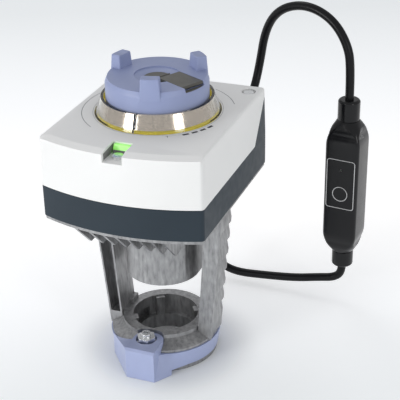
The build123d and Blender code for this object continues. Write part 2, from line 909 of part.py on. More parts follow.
# Thrust bearing that the main gear turns on
with BuildPart() as thrust_bearing:
    cylinder_at(0, 0, band_bottom_z, bearing_radius, bearing_height)
    cylinder_at(0, 0, band_bottom_z, rod_radius + 1, bearing_height, mode=Mode.SUBTRACT)
    with BuildSketch(Plane.XZ):
        with Locations((bearing_radius, band_bottom_z + bearing_height / 2)):
            Rectangle(bearing_groove, bearing_groove)
    revolve(axis=Axis.Z, mode=Mode.SUBTRACT)
save(thrust_bearing, "thrust_bearing")

# Lay shaft: small pinion below, large gear above
lay_phase = lay_angle + 180 + 180 / lay_pinion_teeth
lay_pinion = gear(
    lay_pinion_teeth, main_gear_bottom_z, main_gear_thickness, lay_axle_radius, lay_phase
)
lay_wheel = gear(
    lay_gear_teeth, lay_gear_bottom_z, lay_gear_thickness, lay_axle_radius, motor_turn
)
with BuildPart() as lay_gear:
    with Locations((lay_x, lay_y, 0)):
        add(lay_pinion)
        add(lay_wheel)
    cylinder_at(
        lay_x,
        lay_y,
        floor_top_z + moving_gap,
        lay_hub_radius,
        gear_plate_z - floor_top_z - 2 * moving_gap,
    )
    cylinder_at(lay_x, lay_y, 0, lay_axle_radius + running_gap / 2, cover_top_z, mode=Mode.SUBTRACT)
save(lay_gear, "lay_gear")

with BuildPart() as lay_axle:
    cylinder_at(
        lay_x, lay_y, floor_top_z, lay_axle_radius, gear_plate_z + gear_plate_thickness - floor_top_z
    )
save(lay_axle, "lay_axle")

# Index gear: wheel on the drive sleeve's teeth below, pinion in the ring gear above
index_wheel = gear(
    index_wheel_teeth,
    index_wheel_bottom_z,
    index_wheel_thickness,
    lay_axle_radius,
    index_angle + 180 + 180 / index_wheel_teeth,
)
index_pinion = gear(
    index_pinion_teeth,
    index_top_z - index_pinion_height,
    index_pinion_height,
    lay_axle_radius,
    index_angle,
)
with BuildPart() as index_gear:
    with Locations((index_x, index_y, 0)):
        add(index_wheel)
        add(index_pinion)
    index_hub_z = gear_plate_z + gear_plate_thickness + moving_gap
    cylinder_at(index_x, index_y, index_hub_z, lay_hub_radius, index_top_z - index_hub_z)
    cylinder_at(
        index_x, index_y, 0, lay_axle_radius + running_gap / 2, cover_top_z, mode=Mode.SUBTRACT
    )
save(index_gear, "index_gear")

with BuildPart() as index_axle:
    cylinder_at(index_x, index_y, gear_plate_z, lay_axle_radius, index_top_z - gear_plate_z)
save(index_axle, "index_axle")

# Motor can and the pinion on its shaft
motor_phase = motor_turn + 180 + 180 / motor_pinion_teeth
motor_wheel = gear(
    motor_pinion_teeth,
    lay_gear_bottom_z - pinion_overhang,
    lay_gear_thickness + 2 * pinion_overhang,
    motor_shaft_radius / 2,
    motor_phase,
)
with BuildPart() as motor:
    cylinder_at(motor_x, motor_y, floor_top_z, motor_radius, motor_height)
    chamfer(motor.faces().sort_by(Axis.Z)[-1].edges(), 1)
    cylinder_at(
        motor_x,
        motor_y,
        motor_top_z - motor_shaft_depth,
        motor_shaft_radius + running_gap,
        motor_shaft_depth,
        mode=Mode.SUBTRACT,
    )
save(motor, "motor")

with BuildPart() as motor_pinion:
    with Locations((motor_x, motor_y, 0)):
        add(motor_wheel)
    cylinder_at(
        motor_x,
        motor_y,
        motor_top_z - motor_shaft_depth + moving_gap,
        motor_shaft_radius,
        lay_gear_bottom_z + lay_gear_thickness + 1 - motor_top_z + motor_shaft_depth,
    )
save(motor_pinion, "motor_pinion")

# Plate over the gears, on three posts
with BuildPart() as gear_plate:
    with BuildSketch(Plane.XY.offset(gear_plate_z)):
        with Locations(*post_places):
            Circle(post_radius + 2)
        Circle(plate_bush_radius + 4)
        with Locations((lay_x, lay_y)):
            Circle(lay_axle_radius + 4)
        make_hull()
        Circle(plate_bush_radius, mode=Mode.SUBTRACT)
        with Locations((lay_x, lay_y), (index_x, index_y)):
            Circle(lay_axle_radius + fit_gap, mode=Mode.SUBTRACT)
    extrude(amount=gear_plate_thickness)
save(gear_plate, "gear_plate")

with BuildPart() as plate_posts:
    for post_x, post_y in post_places:
        cylinder_at(post_x, post_y, floor_top_z, post_radius, gear_plate_z - floor_top_z)
save(plate_posts, "plate_posts")

# Flanged bush that steadies the drive sleeve in the gear plate
with BuildPart() as sleeve_bush:
    cylinder_at(
        0,
        0,
        main_hub_top_z + moving_gap,
        main_hub_radius,
        gear_plate_z - main_hub_top_z - moving_gap,
    )
    cylinder_at(0, 0, gear_plate_z, plate_bush_radius - fit_gap, gear_plate_thickness)
    cylinder_at(0, 0, main_hub_top_z, sleeve_radius + running_gap, cover_top_z, mode=Mode.SUBTRACT)
save(sleeve_bush, "sleeve_bush")

# Circuit board with the terminal blocks that face the cable entries
with BuildPart() as main_board:
    block_between(
        (-board_half_width, board_front_y, board_z),
        (board_half_width, board_rear_y, board_z + board_thickness),
    )
save(main_board, "main_board")

with BuildPart() as terminal_blocks:
    for block_x in (-board_half_width / 2, board_half_width / 2):
        low_x = block_x - terminal_length / 2
        block_between(
            (low_x, board_front_y + 2, board_z + board_thickness),
            (
                low_x + terminal_length,
                board_front_y + 2 + terminal_depth,
                board_z + board_thickness + terminal_height,
            ),
        )
        for pole in range(terminal_poles):
            pole_x = low_x + (pole + 0.5) * terminal_length / terminal_poles
            cylinder_at(
                pole_x,
                board_front_y + 2 + terminal_depth / 2,
                board_z + board_thickness + terminal_height - 3,
                terminal_screw_radius,
                3,
                mode=Mode.SUBTRACT,
            )
save(terminal_blocks, "terminal_blocks")

with BuildPart() as light_board:
    block_between(
        (-light_length, notch_back_y + wall / 2, notch_floor_z - light_length),
        (light_length, notch_back_y + wall / 2 + board_thickness, cavity_top_z),
    )
save(light_board, "light_board")


def along_y(x, start_y, radius, length, mode=Mode.ADD):
    """Cylinder that runs along +Y from start_y at the height of the cable entries."""
    with Locations(Plane((x, start_y, entry_z), z_dir=(0, 1, 0))):
        Cylinder(radius, length, align=(Align.CENTER, Align.CENTER, Align.MIN), mode=mode)


def hexagon_along_y(x, start_y, across_flats, length):
    """Hexagonal prism that runs along +Y from start_y."""
    with BuildSketch(Plane((x, start_y, entry_z), z_dir=(0, 1, 0))) as outline:
        RegularPolygon(hexagon_radius(across_flats), 6)
    extrude(outline.sketch, amount=length)


# Cable glands: body, nut, clamping insert and inner locknut
with BuildPart() as gland_bodies:
    for entry_x in entry_xs[:2]:
        along_y(entry_x, rear_inner_y - locknut_depth, entry_radius, wall + locknut_depth)
        hexagon_along_y(entry_x, rear_y, gland_hex, gland_hex_depth)
        along_y(entry_x, gland_face_y, gland_nose_radius, gland_nose_length)
        along_y(entry_x, gland_face_y, gland_insert_radius, gland_nose_length, mode=Mode.SUBTRACT)
        along_y(
            entry_x,
            rear_inner_y - locknut_depth,
            cable_radius + 1,
            gland_face_y,
            mode=Mode.SUBTRACT,
        )
save(gland_bodies, "gland_bodies")

with BuildPart() as gland_nuts:
    for entry_x in entry_xs[:2]:
        along_y(entry_x, gland_face_y, gland_nut_radius, gland_end_y - gland_face_y)
    chamfer(gland_nuts.edges().filter_by(GeomType.CIRCLE).group_by(Axis.Y)[-1], 2)
    for entry_x in entry_xs[:2]:
        along_y(
            entry_x,
            gland_face_y,
            gland_nose_radius + fit_gap,
            gland_nose_length + moving_gap,
            mode=Mode.SUBTRACT,
        )
        along_y(entry_x, gland_face_y, gland_insert_radius, gland_end_y, mode=Mode.SUBTRACT)
save(gland_nuts, "gland_nuts")

with BuildPart() as gland_inserts:
    for entry_x in entry_xs[:2]:
        along_y(
            entry_x,
            gland_face_y,
            gland_insert_radius - fit_gap,
            gland_end_y - gland_face_y,
        )
save(gland_inserts, "gland_inserts")

with BuildPart() as locknuts:
    for entry_x in entry_xs[:2]:
        hexagon_along_y(entry_x, rear_inner_y - locknut_depth, gland_hex, locknut_depth)
        along_y(
            entry_x,
            rear_inner_y - locknut_depth,
            entry_radius + fit_gap,
            locknut_depth,
            mode=Mode.SUBTRACT,
        )
save(locknuts, "locknuts")

with BuildPart() as blanking_plug:
    along_y(entry_xs[2], rear_inner_y, entry_radius, wall)
    hexagon_along_y(entry_xs[2], rear_y, gland_hex, gland_hex_depth / 2)
save(blanking_plug, "blanking_plug")


def leg_x(base_x, slope, z):
    """Distance of a leg's face from the axis at height z."""
    return base_x + slope * (z - leg_reference_z)


def lug_plan(spare):
    """Plan of the clamp's bolt lug with its rounded back, grown by spare."""
    with BuildSketch() as plan:
        with BuildLine():
            Polyline(
                (clamp_lug_left_x - spare, clamp_lug_front_y),
                (clamp_lug_right_x + spare, clamp_lug_front_y),
                (clamp_lug_right_x + spare, clamp_lug_back_y + spare),
                (clamp_lug_left_x - spare, clamp_lug_back_y + spare),
                close=True,
            )
        make_face()
        fillet(plan.vertices().group_by(Axis.Y)[-1], clamp_lug_back_radius)
    return plan.sketch


def foot_sector(radius, start, sweep):
    """Flat sector of a disc round the origin."""
    with BuildSketch() as sector:
        with BuildLine():
            arc = CenterArc((0, 0), radius, start, sweep)
            Polyline(arc @ 1, (0, 0), arc @ 0)
        make_face()
    return sector.sketch


# Yoke casting: ribbed plate, cup, two tapering legs and the neck ring in one piece
plate_plan = housing_plan(plate_inset)
lug_notch_plan = lug_plan(moving_gap)
leg_foot_z = clamp_rim_z + moving_gap
with BuildPart() as yoke_casting:
    with BuildSketch(Plane.XY.offset(plate_bottom_z)):
        add(plate_plan)
    extrude(amount=plate_thickness)
    for index in range(rib_count):
        rib_x = (index - (rib_count - 1) / 2) * rib_pitch
        with BuildSketch(Plane.YZ.offset(rib_x - rib_thickness / 2)):
            Polygon(
                (rib_front_y, plate_bottom_z),
                (rib_front_y + rib_depth, plate_bottom_z - rib_depth),
                (rib_rear_y - rib_depth, plate_bottom_z - rib_depth),
                (rib_rear_y, plate_bottom_z),
                align=None,
            )
        extrude(amount=rib_thickness)
    with BuildSketch(Plane.XY.offset(boss_bottom_z)):
        Circle(boss_radius)
        Rectangle(2 * boss_radius, boss_rear_y, align=(Align.CENTER, Align.MIN))
    extrude(amount=plate_bottom_z - boss_bottom_z)
    with BuildSketch(Plane.XY.offset(boss_bottom_z + boss_floor)):
        Circle(boss_radius - boss_wall)
        Rectangle(
            2 * (boss_radius - boss_wall), boss_rear_y - boss_wall, align=(Align.CENTER, Align.MIN)
        )
    extrude(amount=plate_bottom_z - boss_bottom_z - boss_floor, mode=Mode.SUBTRACT)
    cylinder_at(0, 0, 0, bush_radius + fit_gap, boss_bottom_z + boss_floor, mode=Mode.SUBTRACT)
    cylinder_at(0, 0, plate_bottom_z, plate_hole_radius, plate_thickness, mode=Mode.SUBTRACT)
    for side in (-1, 1):
        with BuildSketch(Plane.XZ.offset(-leg_half_depth)):
            Polygon(
                (side * leg_x(leg_inner_x, leg_inner_slope, leg_foot_z), leg_foot_z),
                (side * leg_x(leg_inner_x, leg_inner_slope, plate_bottom_z), plate_bottom_z),
                (side * leg_x(leg_outer_x, leg_outer_slope, plate_bottom_z), plate_bottom_z),
                (side * leg_x(leg_outer_x, leg_outer_slope, leg_foot_z), leg_foot_z),
                align=None,
            )
        extrude(amount=2 * leg_half_depth)
        block_between(
            (min(side * shoulder_x, side * leg_inner_x), shoulder_front_y, leg_foot_z),
            (
                max(side * shoulder_x, side * leg_inner_x),
                leg_half_depth,
                neck_top_z + shoulder_height,
            ),
        )
        first_ledge_y = ledge_front_y
        if side < 0:
            first_ledge_y = channel_depth + 2 * channel_wall - leg_half_depth
        for ledge in range(ledge_count):
            top_z = ledge_top_z - ledge * ledge_pitch
            face_x = leg_x(leg_outer_x, leg_outer_slope, top_z)
            low_x = leg_x(leg_outer_x, leg_outer_slope, top_z - ledge_rise)
            with BuildSketch(Plane.XZ.offset(-leg_half_depth - 1)):
                Polygon(
                    (side * (face_x + 1), top_z),
                    (side * (face_x - ledge_depth), top_z),
                    (side * (low_x + 0.3), top_z - ledge_rise),
                    (side * (low_x + 1), top_z - ledge_rise),
                    align=None,
                )
            extrude(amount=leg_half_depth + 1 - first_ledge_y, mode=Mode.SUBTRACT)
    with BuildSketch(Plane.XZ.offset(leg_half_depth)):
        Polygon(
            (-leg_x(leg_inner_x, leg_inner_slope, neck_top_z) - channel_wall, neck_top_z),
            (
                -leg_x(leg_inner_x, leg_inner_slope, plate_bottom_z) - channel_wall,
                plate_bottom_z - channel_wall,
            ),
            (
                channel_wall - leg_x(leg_outer_x, leg_outer_slope, plate_bottom_z),
                plate_bottom_z - channel_wall,
            ),
            (channel_wall - leg_x(leg_outer_x, leg_outer_slope, neck_top_z), neck_top_z),
            align=None,
        )
    extrude(amount=-channel_depth, mode=Mode.SUBTRACT)
    with BuildSketch(Plane.XZ):
        with BuildLine():
            Polyline(
                (neck_seat_radius, 0),
                (neck_seat_radius, neck_seat_top_z),
                (neck_bore_radius, neck_seat_top_z),
                (neck_bore_radius, neck_top_z),
                (neck_outer_radius, neck_top_z),
                (neck_outer_radius, neck_top_z - 3),
                (platform_radius, leg_foot_z + 2),
                (platform_radius, leg_foot_z),
                (spigot_radius, leg_foot_z),
                (spigot_radius, 0),
                close=True,
            )
        make_face()
    revolve(axis=Axis.Z)
    with BuildSketch(Plane.XY.offset(neck_seat_top_z)):
        with PolarLocations(0, key_count, start_angle=key_angle):
            with Locations((key_radius, 0)):
                Rectangle(
                    neck_bore_radius + 1 - key_radius, key_width, align=(Align.MIN, Align.CENTER)
                )
    extrude(amount=neck_top_z - neck_seat_top_z - 1)
    with Locations(Location((0, 0, neck_seat_top_z), (0, 0, neck_window_angle))):
        Box(
            neck_bore_radius + neck_window_depth,
            neck_window_width,
            neck_window_height,
            align=(Align.MIN, Align.CENTER, Align.MIN),
            mode=Mode.SUBTRACT,
        )
    with BuildSketch(Plane.XY) as foot_flange:
        add(foot_sector(foot_flange_radius, foot_flange_start, foot_flange_sweep))
        Circle(neck_seat_radius, mode=Mode.SUBTRACT)
    extrude(amount=foot_flange_height)
    extrude(lug_notch_plan, amount=neck_top_z, mode=Mode.SUBTRACT)
save(yoke_casting, "yoke_casting")


def lug_tangent(corner_x, radius):
    """Point where a line from the lug's front corner meets the clamp's ring."""
    side = 1 if corner_x > 0 else -1
    turn = atan2(clamp_lug_front_y, corner_x) + side * acos(radius / hypot(corner_x, clamp_lug_front_y))
    return (radius * cos(turn), radius * sin(turn))


def right_flank(z, reach_y, radius):
    """Section of the flank right of the lug at height z."""
    with BuildSketch(Plane.XY.offset(z)) as cut:
        Polygon(
            lug_tangent(clamp_lug_right_x, radius),
            (clamp_lug_right_x, reach_y),
            (clamp_lug_right_x, clamp_lug_back_y),
            align=None,
        )
    return cut.sketch


# Neck clamp: blue ring with the bolt lug at the front
clamp_lug_plan = lug_plan(0)
clamp_foot_notch = foot_sector(2 * clamp_rim_radius, foot_flange_start - 1, foot_flange_sweep + 2)
left_tangent = lug_tangent(clamp_lug_left_x, clamp_rim_radius)
low_flank = right_flank(0, clamp_lug_front_y, clamp_foot_radius)
high_flank = right_flank(clamp_rim_z, -clamp_rim_radius, clamp_rim_radius)
with BuildPart() as neck_clamp:
    with BuildSketch(Plane.XZ):
        Polygon(
            (0, 0),
            (clamp_foot_radius, 0),
            (clamp_rim_radius, clamp_rim_z),
            (0, clamp_rim_z),
            align=None,
        )
    revolve(axis=Axis.Z)
    with BuildSketch():
        Polygon(
            left_tangent,
            (clamp_lug_left_x, clamp_lug_front_y),
            (0, clamp_lug_back_y),
            align=None,
        )
    extrude(amount=clamp_lug_top_z)
    with BuildSketch(Plane.XZ.offset(-clamp_rim_radius)):
        Polygon(
            (left_tangent[0], clamp_rim_z),
            (clamp_lug_left_x, clamp_lug_top_z),
            (0, clamp_lug_top_z),
            (0, neck_top_z),
            (left_tangent[0], neck_top_z),
            align=None,
        )
    extrude(amount=2 * clamp_rim_radius + clamp_lug_top_z, mode=Mode.SUBTRACT)
    loft(sections=[low_flank, high_flank])
    cylinder_at(
        0, 0, clamp_rim_z, platform_radius + moving_gap, clamp_rim_z, mode=Mode.SUBTRACT
    )
    cylinder_at(0, 0, 0, spigot_radius + fit_gap, neck_top_z, mode=Mode.SUBTRACT)
    extrude(clamp_foot_notch, amount=foot_flange_height + moving_gap, mode=Mode.SUBTRACT)
    extrude(clamp_lug_plan, amount=clamp_lug_top_z)
    chamfer(neck_clamp.faces().sort_by(Axis.Z)[-1].edges().sort_by(Axis.Y)[0], clamp_lug_edge)
    cylinder_at(
        bolt_x,
        bolt_y,
        clamp_lug_top_z - bolt_recess_depth,
        bolt_recess_radius,
        bolt_recess_depth,
        mode=Mode.SUBTRACT,
    )
    cylinder_at(bolt_x, bolt_y, 0, bolt_shank_radius + fit_gap, neck_top_z, mode=Mode.SUBTRACT)
save(neck_clamp, "neck_clamp")

# Stud with a socket in its end, and the flanged nut that draws the clamp together
with BuildPart() as clamp_bolt:
    bolt_seat_z = clamp_lug_top_z - bolt_recess_depth
    cylinder_at(bolt_x, bolt_y, 1, bolt_shank_radius, bolt_seat_z + bolt_end_height - 1)
    chamfer(clamp_bolt.faces().sort_by(Axis.Z)[-1].edges(), bolt_edge)
    with BuildSketch(Plane.XY.offset(bolt_seat_z + bolt_end_height)):
        with Locations((bolt_x, bolt_y)):
            RegularPolygon(hexagon_radius(bolt_socket_width), 6)
    extrude(amount=bolt_nut_height - bolt_end_height, mode=Mode.SUBTRACT)
    cylinder_at(bolt_x, bolt_y, bolt_seat_z, bolt_flange_radius, bolt_flange_height)
    with BuildSketch(Plane.XY.offset(bolt_seat_z)):
        with Locations((bolt_x, bolt_y)):
            RegularPolygon(hexagon_radius(bolt_nut_width), 6)
    extrude(amount=bolt_nut_height)
save(clamp_bolt, "clamp_bolt")


def module_slice(z, inset, corner):
    """Rounded cross-section of the in-line module at height z."""
    with BuildSketch(module_plane.offset(z)) as cut:
        RectangleRounded(module_width - 2 * inset, module_depth - 2 * inset, corner)
    return cut.sketch


def module_end(z):
    """Round cross-section at the end of the module's shoulders."""
    with BuildSketch(module_plane.offset(z)) as cut:
        Circle(module_collar_radius)
    return cut.sketch


module_low_z = module_body_bottom_z + module_shoulder
module_high_z = module_body_top_z - module_shoulder
module_low_cut = module_slice(module_low_z, 0, module_corner)
module_high_cut = module_slice(module_high_z, 0, module_corner)
module_low_shoulder = module_slice(
    module_low_z - module_shoulder / 2, module_shoulder_inset, module_shoulder_corner
)
module_high_shoulder = module_slice(
    module_high_z + module_shoulder / 2, module_shoulder_inset, module_shoulder_corner
)
module_low_end = module_end(module_body_bottom_z)
module_high_end = module_end(module_body_top_z)
module_cavity_cut = module_slice(module_low_z, module_wall, module_corner - module_wall)


def module_block():
    """Closed outer shape of the in-line module."""
    with BuildPart() as block:
        extrude(module_low_cut, amount=module_high_z - module_low_z)
        loft(sections=[module_high_cut, module_high_shoulder])
        loft(sections=[module_high_shoulder, module_high_end])
        loft(sections=[module_low_shoulder, module_low_cut])
        loft(sections=[module_low_end, module_low_shoulder])
        extrude(module_cavity_cut, amount=module_high_z - module_low_z, mode=Mode.SUBTRACT)
    return block.part


module_whole = module_block()
module_split = Plane(origin=(module_x, module_y, 0), z_dir=module_front_normal)


def on_module(stand_off, z):
    """Plane that faces out of the module's front, at height z on its centre line."""
    place = module_plane.from_local_coords((0, -module_depth / 2 - stand_off, z))
    return Plane(place, z_dir=module_front_normal)


with BuildPart() as module_rear:
    add(module_whole)
    split(bisect_by=module_split, keep=Keep.BOTTOM)
save(module_rear, "module_rear")

with BuildPart() as module_front:
    add(module_whole)
    split(bisect_by=module_split, keep=Keep.TOP)
    with Locations(on_module(0, module_button_z)):
        Cylinder(module_button_radius + moving_gap, 3 * module_wall, mode=Mode.SUBTRACT)
    with Locations(on_module(0, module_lamp_z)):
        Cylinder(module_lamp_radius, 3 * module_wall, mode=Mode.SUBTRACT)
save(module_front, "module_front")

with BuildPart() as module_button:
    with Locations(on_module(-button_set_back, module_button_z)):
        Cylinder(
            module_button_radius,
            button_depth,
            align=(Align.CENTER, Align.CENTER, Align.MAX),
        )
save(module_button, "module_button")

with BuildPart() as module_lamp:
    with Locations(on_module(0, module_lamp_z)):
        Cylinder(
            module_lamp_radius - fit_gap,
            button_depth,
            align=(Align.CENTER, Align.CENTER, Align.MAX),
        )
save(module_lamp, "module_lamp")

with BuildPart() as module_board:
    with BuildSketch(module_plane.offset(module_low_z + 1)):
        Rectangle(module_width - 2 * module_wall - 2 * running_gap, board_thickness)
    extrude(amount=module_high_z - module_low_z - 2)
save(module_board, "module_board")

# Collars where the cable enters the module
with BuildPart() as module_collars:
    for low_z, high_z in (
        (module_collar_bottom_z, module_body_bottom_z),
        (module_body_top_z, module_collar_top_z),
    ):
        cylinder_at(module_x, module_y, low_z, module_collar_radius, high_z - low_z)
    chamfer(module_collars.faces().sort_by(Axis.Z)[-1].edges(), 1.5)
    chamfer(module_collars.faces().sort_by(Axis.Z)[0].edges(), 1.5)
save(module_collars, "module_collars")


def cable_tube(route, name):
    """Tube of the cable along runs and tangent arcs, each arc as large as its runs allow."""
    points = [Vector(*point) for point in route]
    radii = []
    for before, here, after in zip(points, points[1:], points[2:]):
        run_in = here - before
        run_out = after - here
        turn = run_in.get_angle(run_out)
        shorter = min(run_in.length, run_out.length)
        radii.append(0.45 * shorter / tan(radians(turn / 2)))
    print(name, "radii", [round(radius, 1) for radius in radii])
    with BuildPart() as tube:
        with BuildLine() as path:
            FilletPolyline(*points, radius=radii)
        with BuildSketch(Plane(origin=points[0], z_dir=points[1] - points[0])):
            Circle(cable_radius)
        sweep()
    length = path.wire().length
    print(name, "length", round(length, 1))
    print(name, "volume ratio", round(tube.part.volume / (pi * cable_radius**2 * length), 4))
    save(tube, name)


cable_tube(upper_route, "upper_cable")
cable_tube(lower_route, "lower_cable")
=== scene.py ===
import json
import math

import bmesh
import bpy
from mathutils import Matrix, Vector


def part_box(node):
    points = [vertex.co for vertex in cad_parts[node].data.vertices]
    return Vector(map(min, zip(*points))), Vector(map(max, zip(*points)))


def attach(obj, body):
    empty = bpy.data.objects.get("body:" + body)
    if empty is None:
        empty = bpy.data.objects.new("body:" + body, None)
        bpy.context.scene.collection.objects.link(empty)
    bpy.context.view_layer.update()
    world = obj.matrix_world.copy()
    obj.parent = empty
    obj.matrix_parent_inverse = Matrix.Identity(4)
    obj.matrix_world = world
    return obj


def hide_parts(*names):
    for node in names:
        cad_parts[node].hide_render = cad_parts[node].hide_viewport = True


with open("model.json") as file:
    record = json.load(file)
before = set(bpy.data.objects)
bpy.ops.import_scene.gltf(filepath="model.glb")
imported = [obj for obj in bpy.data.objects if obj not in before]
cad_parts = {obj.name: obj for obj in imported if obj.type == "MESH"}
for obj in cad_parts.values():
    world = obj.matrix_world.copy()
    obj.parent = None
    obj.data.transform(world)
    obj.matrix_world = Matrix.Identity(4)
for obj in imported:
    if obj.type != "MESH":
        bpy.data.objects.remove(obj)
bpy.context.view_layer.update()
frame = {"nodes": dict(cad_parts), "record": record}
nodes = frame["nodes"]
MM = 0.001

# Camera, fitted to the photograph
PHOTO_PIXELS = 400
FOCAL_PIXELS = 1136.11
CAMERA_AZIMUTH = math.radians(21.47)
CAMERA_ELEVATION = math.radians(27.32)
CAMERA_ROLL = math.radians(-1.16)
CAMERA_DISTANCE = 0.8548
CAMERA_TARGET = Vector((0.03147, 0.0, 0.13483))
SENSOR_WIDTH = 36.0
CAMERA_NEAR = 0.05
CAMERA_FAR = 20.0

# Cable, with the points of its two routes in metres
CABLE_DIAMETER = 0.007
CABLE_SIDES = 24
CABLE_RESOLUTION = 16
UPPER_ROUTE = [
    (0.0300, 0.0890, 0.1630),
    (0.0300, 0.1100, 0.1630),
    (0.0307, 0.1284, 0.1739),
    (0.0322, 0.1390, 0.1922),
    (0.0379, 0.1370, 0.2264),
    (0.0520, 0.1310, 0.2464),
    (0.0755, 0.1240, 0.2540),
    (0.0990, 0.1170, 0.2464),
    (0.1135, 0.1130, 0.2264),
    (0.1160, 0.1120, 0.2052),
    (0.1160, 0.1120, 0.1843),
]
LOWER_ROUTE = [
    (0.1160, 0.1120, 0.0340),
    (0.1160, 0.1120, 0.0250),
    (0.1095, 0.1119, 0.0188),
    (0.0960, 0.1117, 0.0163),
    (0.0760, 0.1112, 0.0120),
    (0.0520, 0.1105, 0.0098),
    (0.0170, 0.1100, 0.0075),
    (-0.0012, 0.1137, 0.0174),
    (-0.0117, 0.1200, 0.0345),
    (-0.0105, 0.1290, 0.0595),
    (-0.0075, 0.1360, 0.0950),
    (-0.0028, 0.1390, 0.1340),
    (-0.0024, 0.1284, 0.1524),
    (-0.0020, 0.1100, 0.1630),
    (-0.0020, 0.0890, 0.1630),
]

# Meshes: what counts as one point, one flat face or a sharp edge, and how edges are rounded
MERGE_DISTANCE = 0.01 * MM
FLAT_ANGLE = math.radians(0.1)
TUBE_SHARP_ANGLE = math.radians(50.0)
BEVEL_ANGLE = math.radians(32.0)
BEVEL_SEGMENTS = 2

# In-line module
MODULE_SHELLS = ["module_front", "module_rear"]
MODULE_NODES = MODULE_SHELLS + ["module_board", "module_lamp", "module_button"]
MODULE_AXIS = Vector((0.116, 0.112, 0.0))
MODULE_TURN = math.radians(-6.0)
MODULE_DEPTH = 0.027
SHOULDER_KINKS = (0.0593, 0.1560)
SHOULDER_REACH = 0.009
SHOULDER_CUTS = 6
SHOULDER_PULL = 0.11
SHOULDER_MERGE = 0.02 * MM
FLAT_FACE_COSINE = 0.99995
LABEL_WIDTH = 0.0233
LABEL_HEIGHT = 0.043
LABEL_CORNER = 0.0022
LABEL_CORNER_STEPS = 6
LABEL_Z = 0.1145
LABEL_LINE = 0.0007
LINE_SIDES = 8
LINE_SINK = 0.00015
BUTTON_Z = 0.1058
BUTTON_RING_RADIUS = 0.0062
BUTTON_RING_STEPS = 48

# Position ring, with its silvered inner face and its index line
RING_FOOT_RADIUS = 0.046
RING_TOP_RADIUS = 0.0416
RING_WALL = 0.002
SILVER_LIFT = 0.0014
SILVER_TOP_GAP = 0.0002
SILVER_CLEARANCE = 0.00015
SILVER_STEPS = 120
INDEX_LINE_WIDTH = 0.0013

# Front notch of the cover and its light, with painted shade in the notch
NOTCH_HALF_WIDTH = 0.0075
NOTCH_BACK_Y = -0.062
NOTCH_WALL_LENGTH = 0.017
NOTCH_FLOOR_Z = 0.1970
WALL_SHADE_LIFT = 0.0002
WALL_SHADE_DROP = 0.0012
LIGHT_TOP_Z = 0.2034
LIGHT_DEPTH = 0.0055
LIGHT_HALF_LENGTH = 0.006
LIGHT_SHADE_LIFT = 0.0001
LIGHT_SHADE_GAP = 0.0004
LIGHT_SHADE_TOP_SHARE = 0.75

# Floor of the crank's slot in the knob, which gets a dark strip of painted shade
SLOT_ANGLE = math.radians(-28.0)
SLOT_FLOOR_Z = 0.2290
SLOT_OFFSET = 0.0057
SLOT_HALF_WIDTH = 0.0093
SLOT_START = 0.0332
SLOT_RADIUS = 0.0371
SLOT_EDGE_STEPS = 12

# Floor: its tones from near to far, painted light that is whitest behind the object, and a
# painted shadow that darkens it near the part
FLOOR_SIZE = 12.0
FLOOR_Z = -0.0002
FLOOR_NEAR = -0.1
FLOOR_FAR = 0.9
FLOOR_GLOW = 0.36
FLOOR_PAINTED_LIGHT_TONES = [
    (0.03, (0.77, 0.79, 0.80)),
    (0.16, (0.90, 0.91, 0.92)),
    (0.35, (1.00, 0.99, 0.98)),
    (0.62, (0.89, 0.90, 0.91)),
    (0.97, (0.75, 0.77, 0.78)),
]
PAINTED_SHADOW_START = 0.040
PAINTED_SHADOW_END = 0.082
PAINTED_SHADOW_GLOW = 0.02

# Print on the cover: angles in degrees round the stem's axis, radii in metres
PRINT_LIFT = 0.00004
PRINT_ARCS = [
    (0.0560, 150.0, 234.0, 0.0005),
    (0.0565, 28.0, 62.0, 0.0005),
    (0.0500, -62.0, -47.0, 0.0002),
    (0.0478, 0.0, 360.0, 0.00025),
]
PRINT_ARC_STEPS = 60
PRINT_DASHES = [-45.0, -37.0, -29.0, -21.0]
PRINT_DASH_RADIUS = 0.0508
PRINT_DASH_HALF_ANGLE = 2.7
PRINT_TICK_ANGLE = -60.0
PRINT_TICK_RADIUS = 0.0506
PRINT_TICK_HALF_ANGLE = 0.3
PRINT_SCALE_WIDTH = 0.0022

# Part of a noise's values that a tone or a gloss is spread over
NOISE_LOW = 0.3
NOISE_HIGH = 0.7

# Lights: name, place, side in metres and power in watts
LIGHT_AIM = Vector((0.03, 0.0, 0.13))
LIGHTS = [
    ("key", (-0.80, -1.35, 0.42), 0.6, 10.0),
    ("top", (-0.5, 0.7, 1.2), 0.5, 1.2),
    ("fill", (1.1, -0.6, 0.5), 0.35, 2.0),
]
SKY_TONE = (0.97, 0.98, 1.0, 1.0)
SKY_STRENGTH = 0.60


def make_camera():
    """Put the camera where the photograph was taken from."""
    ca, sa = math.cos(CAMERA_AZIMUTH), math.sin(CAMERA_AZIMUTH)
    ce, se = math.cos(CAMERA_ELEVATION), math.sin(CAMERA_ELEVATION)
    back = Vector((sa * ce, -ca * ce, se))
    right = (-back).cross(Vector((0, 0, 1))).normalized()
    up = right.cross(-back)
    cr, sr = math.cos(CAMERA_ROLL), math.sin(CAMERA_ROLL)
    image_right = right * cr + up * sr
    image_up = -right * sr + up * cr
    data = bpy.data.cameras.new("camera")
    data.sensor_width = SENSOR_WIDTH
    data.lens = FOCAL_PIXELS * SENSOR_WIDTH / PHOTO_PIXELS
    data.clip_start = CAMERA_NEAR
    data.clip_end = CAMERA_FAR
    camera = bpy.data.objects.new("camera", data)
    bpy.context.scene.collection.objects.link(camera)
    turn = Matrix((image_right, image_up, back)).transposed().to_4x4()
    camera.matrix_world = Matrix.Translation(CAMERA_TARGET + back * CAMERA_DISTANCE) @ turn
    bpy.context.scene.camera = camera


make_camera()


def link(name, data):
    """Add an object to the scene."""
    piece = bpy.data.objects.new(name, data)
    bpy.context.scene.collection.objects.link(piece)
    return piece


def link_mesh(name, work):
    """Add an object made from a bmesh, which is freed."""
    mesh = bpy.data.meshes.new(name)
    work.to_mesh(mesh)
    work.free()
    return link(name, mesh)


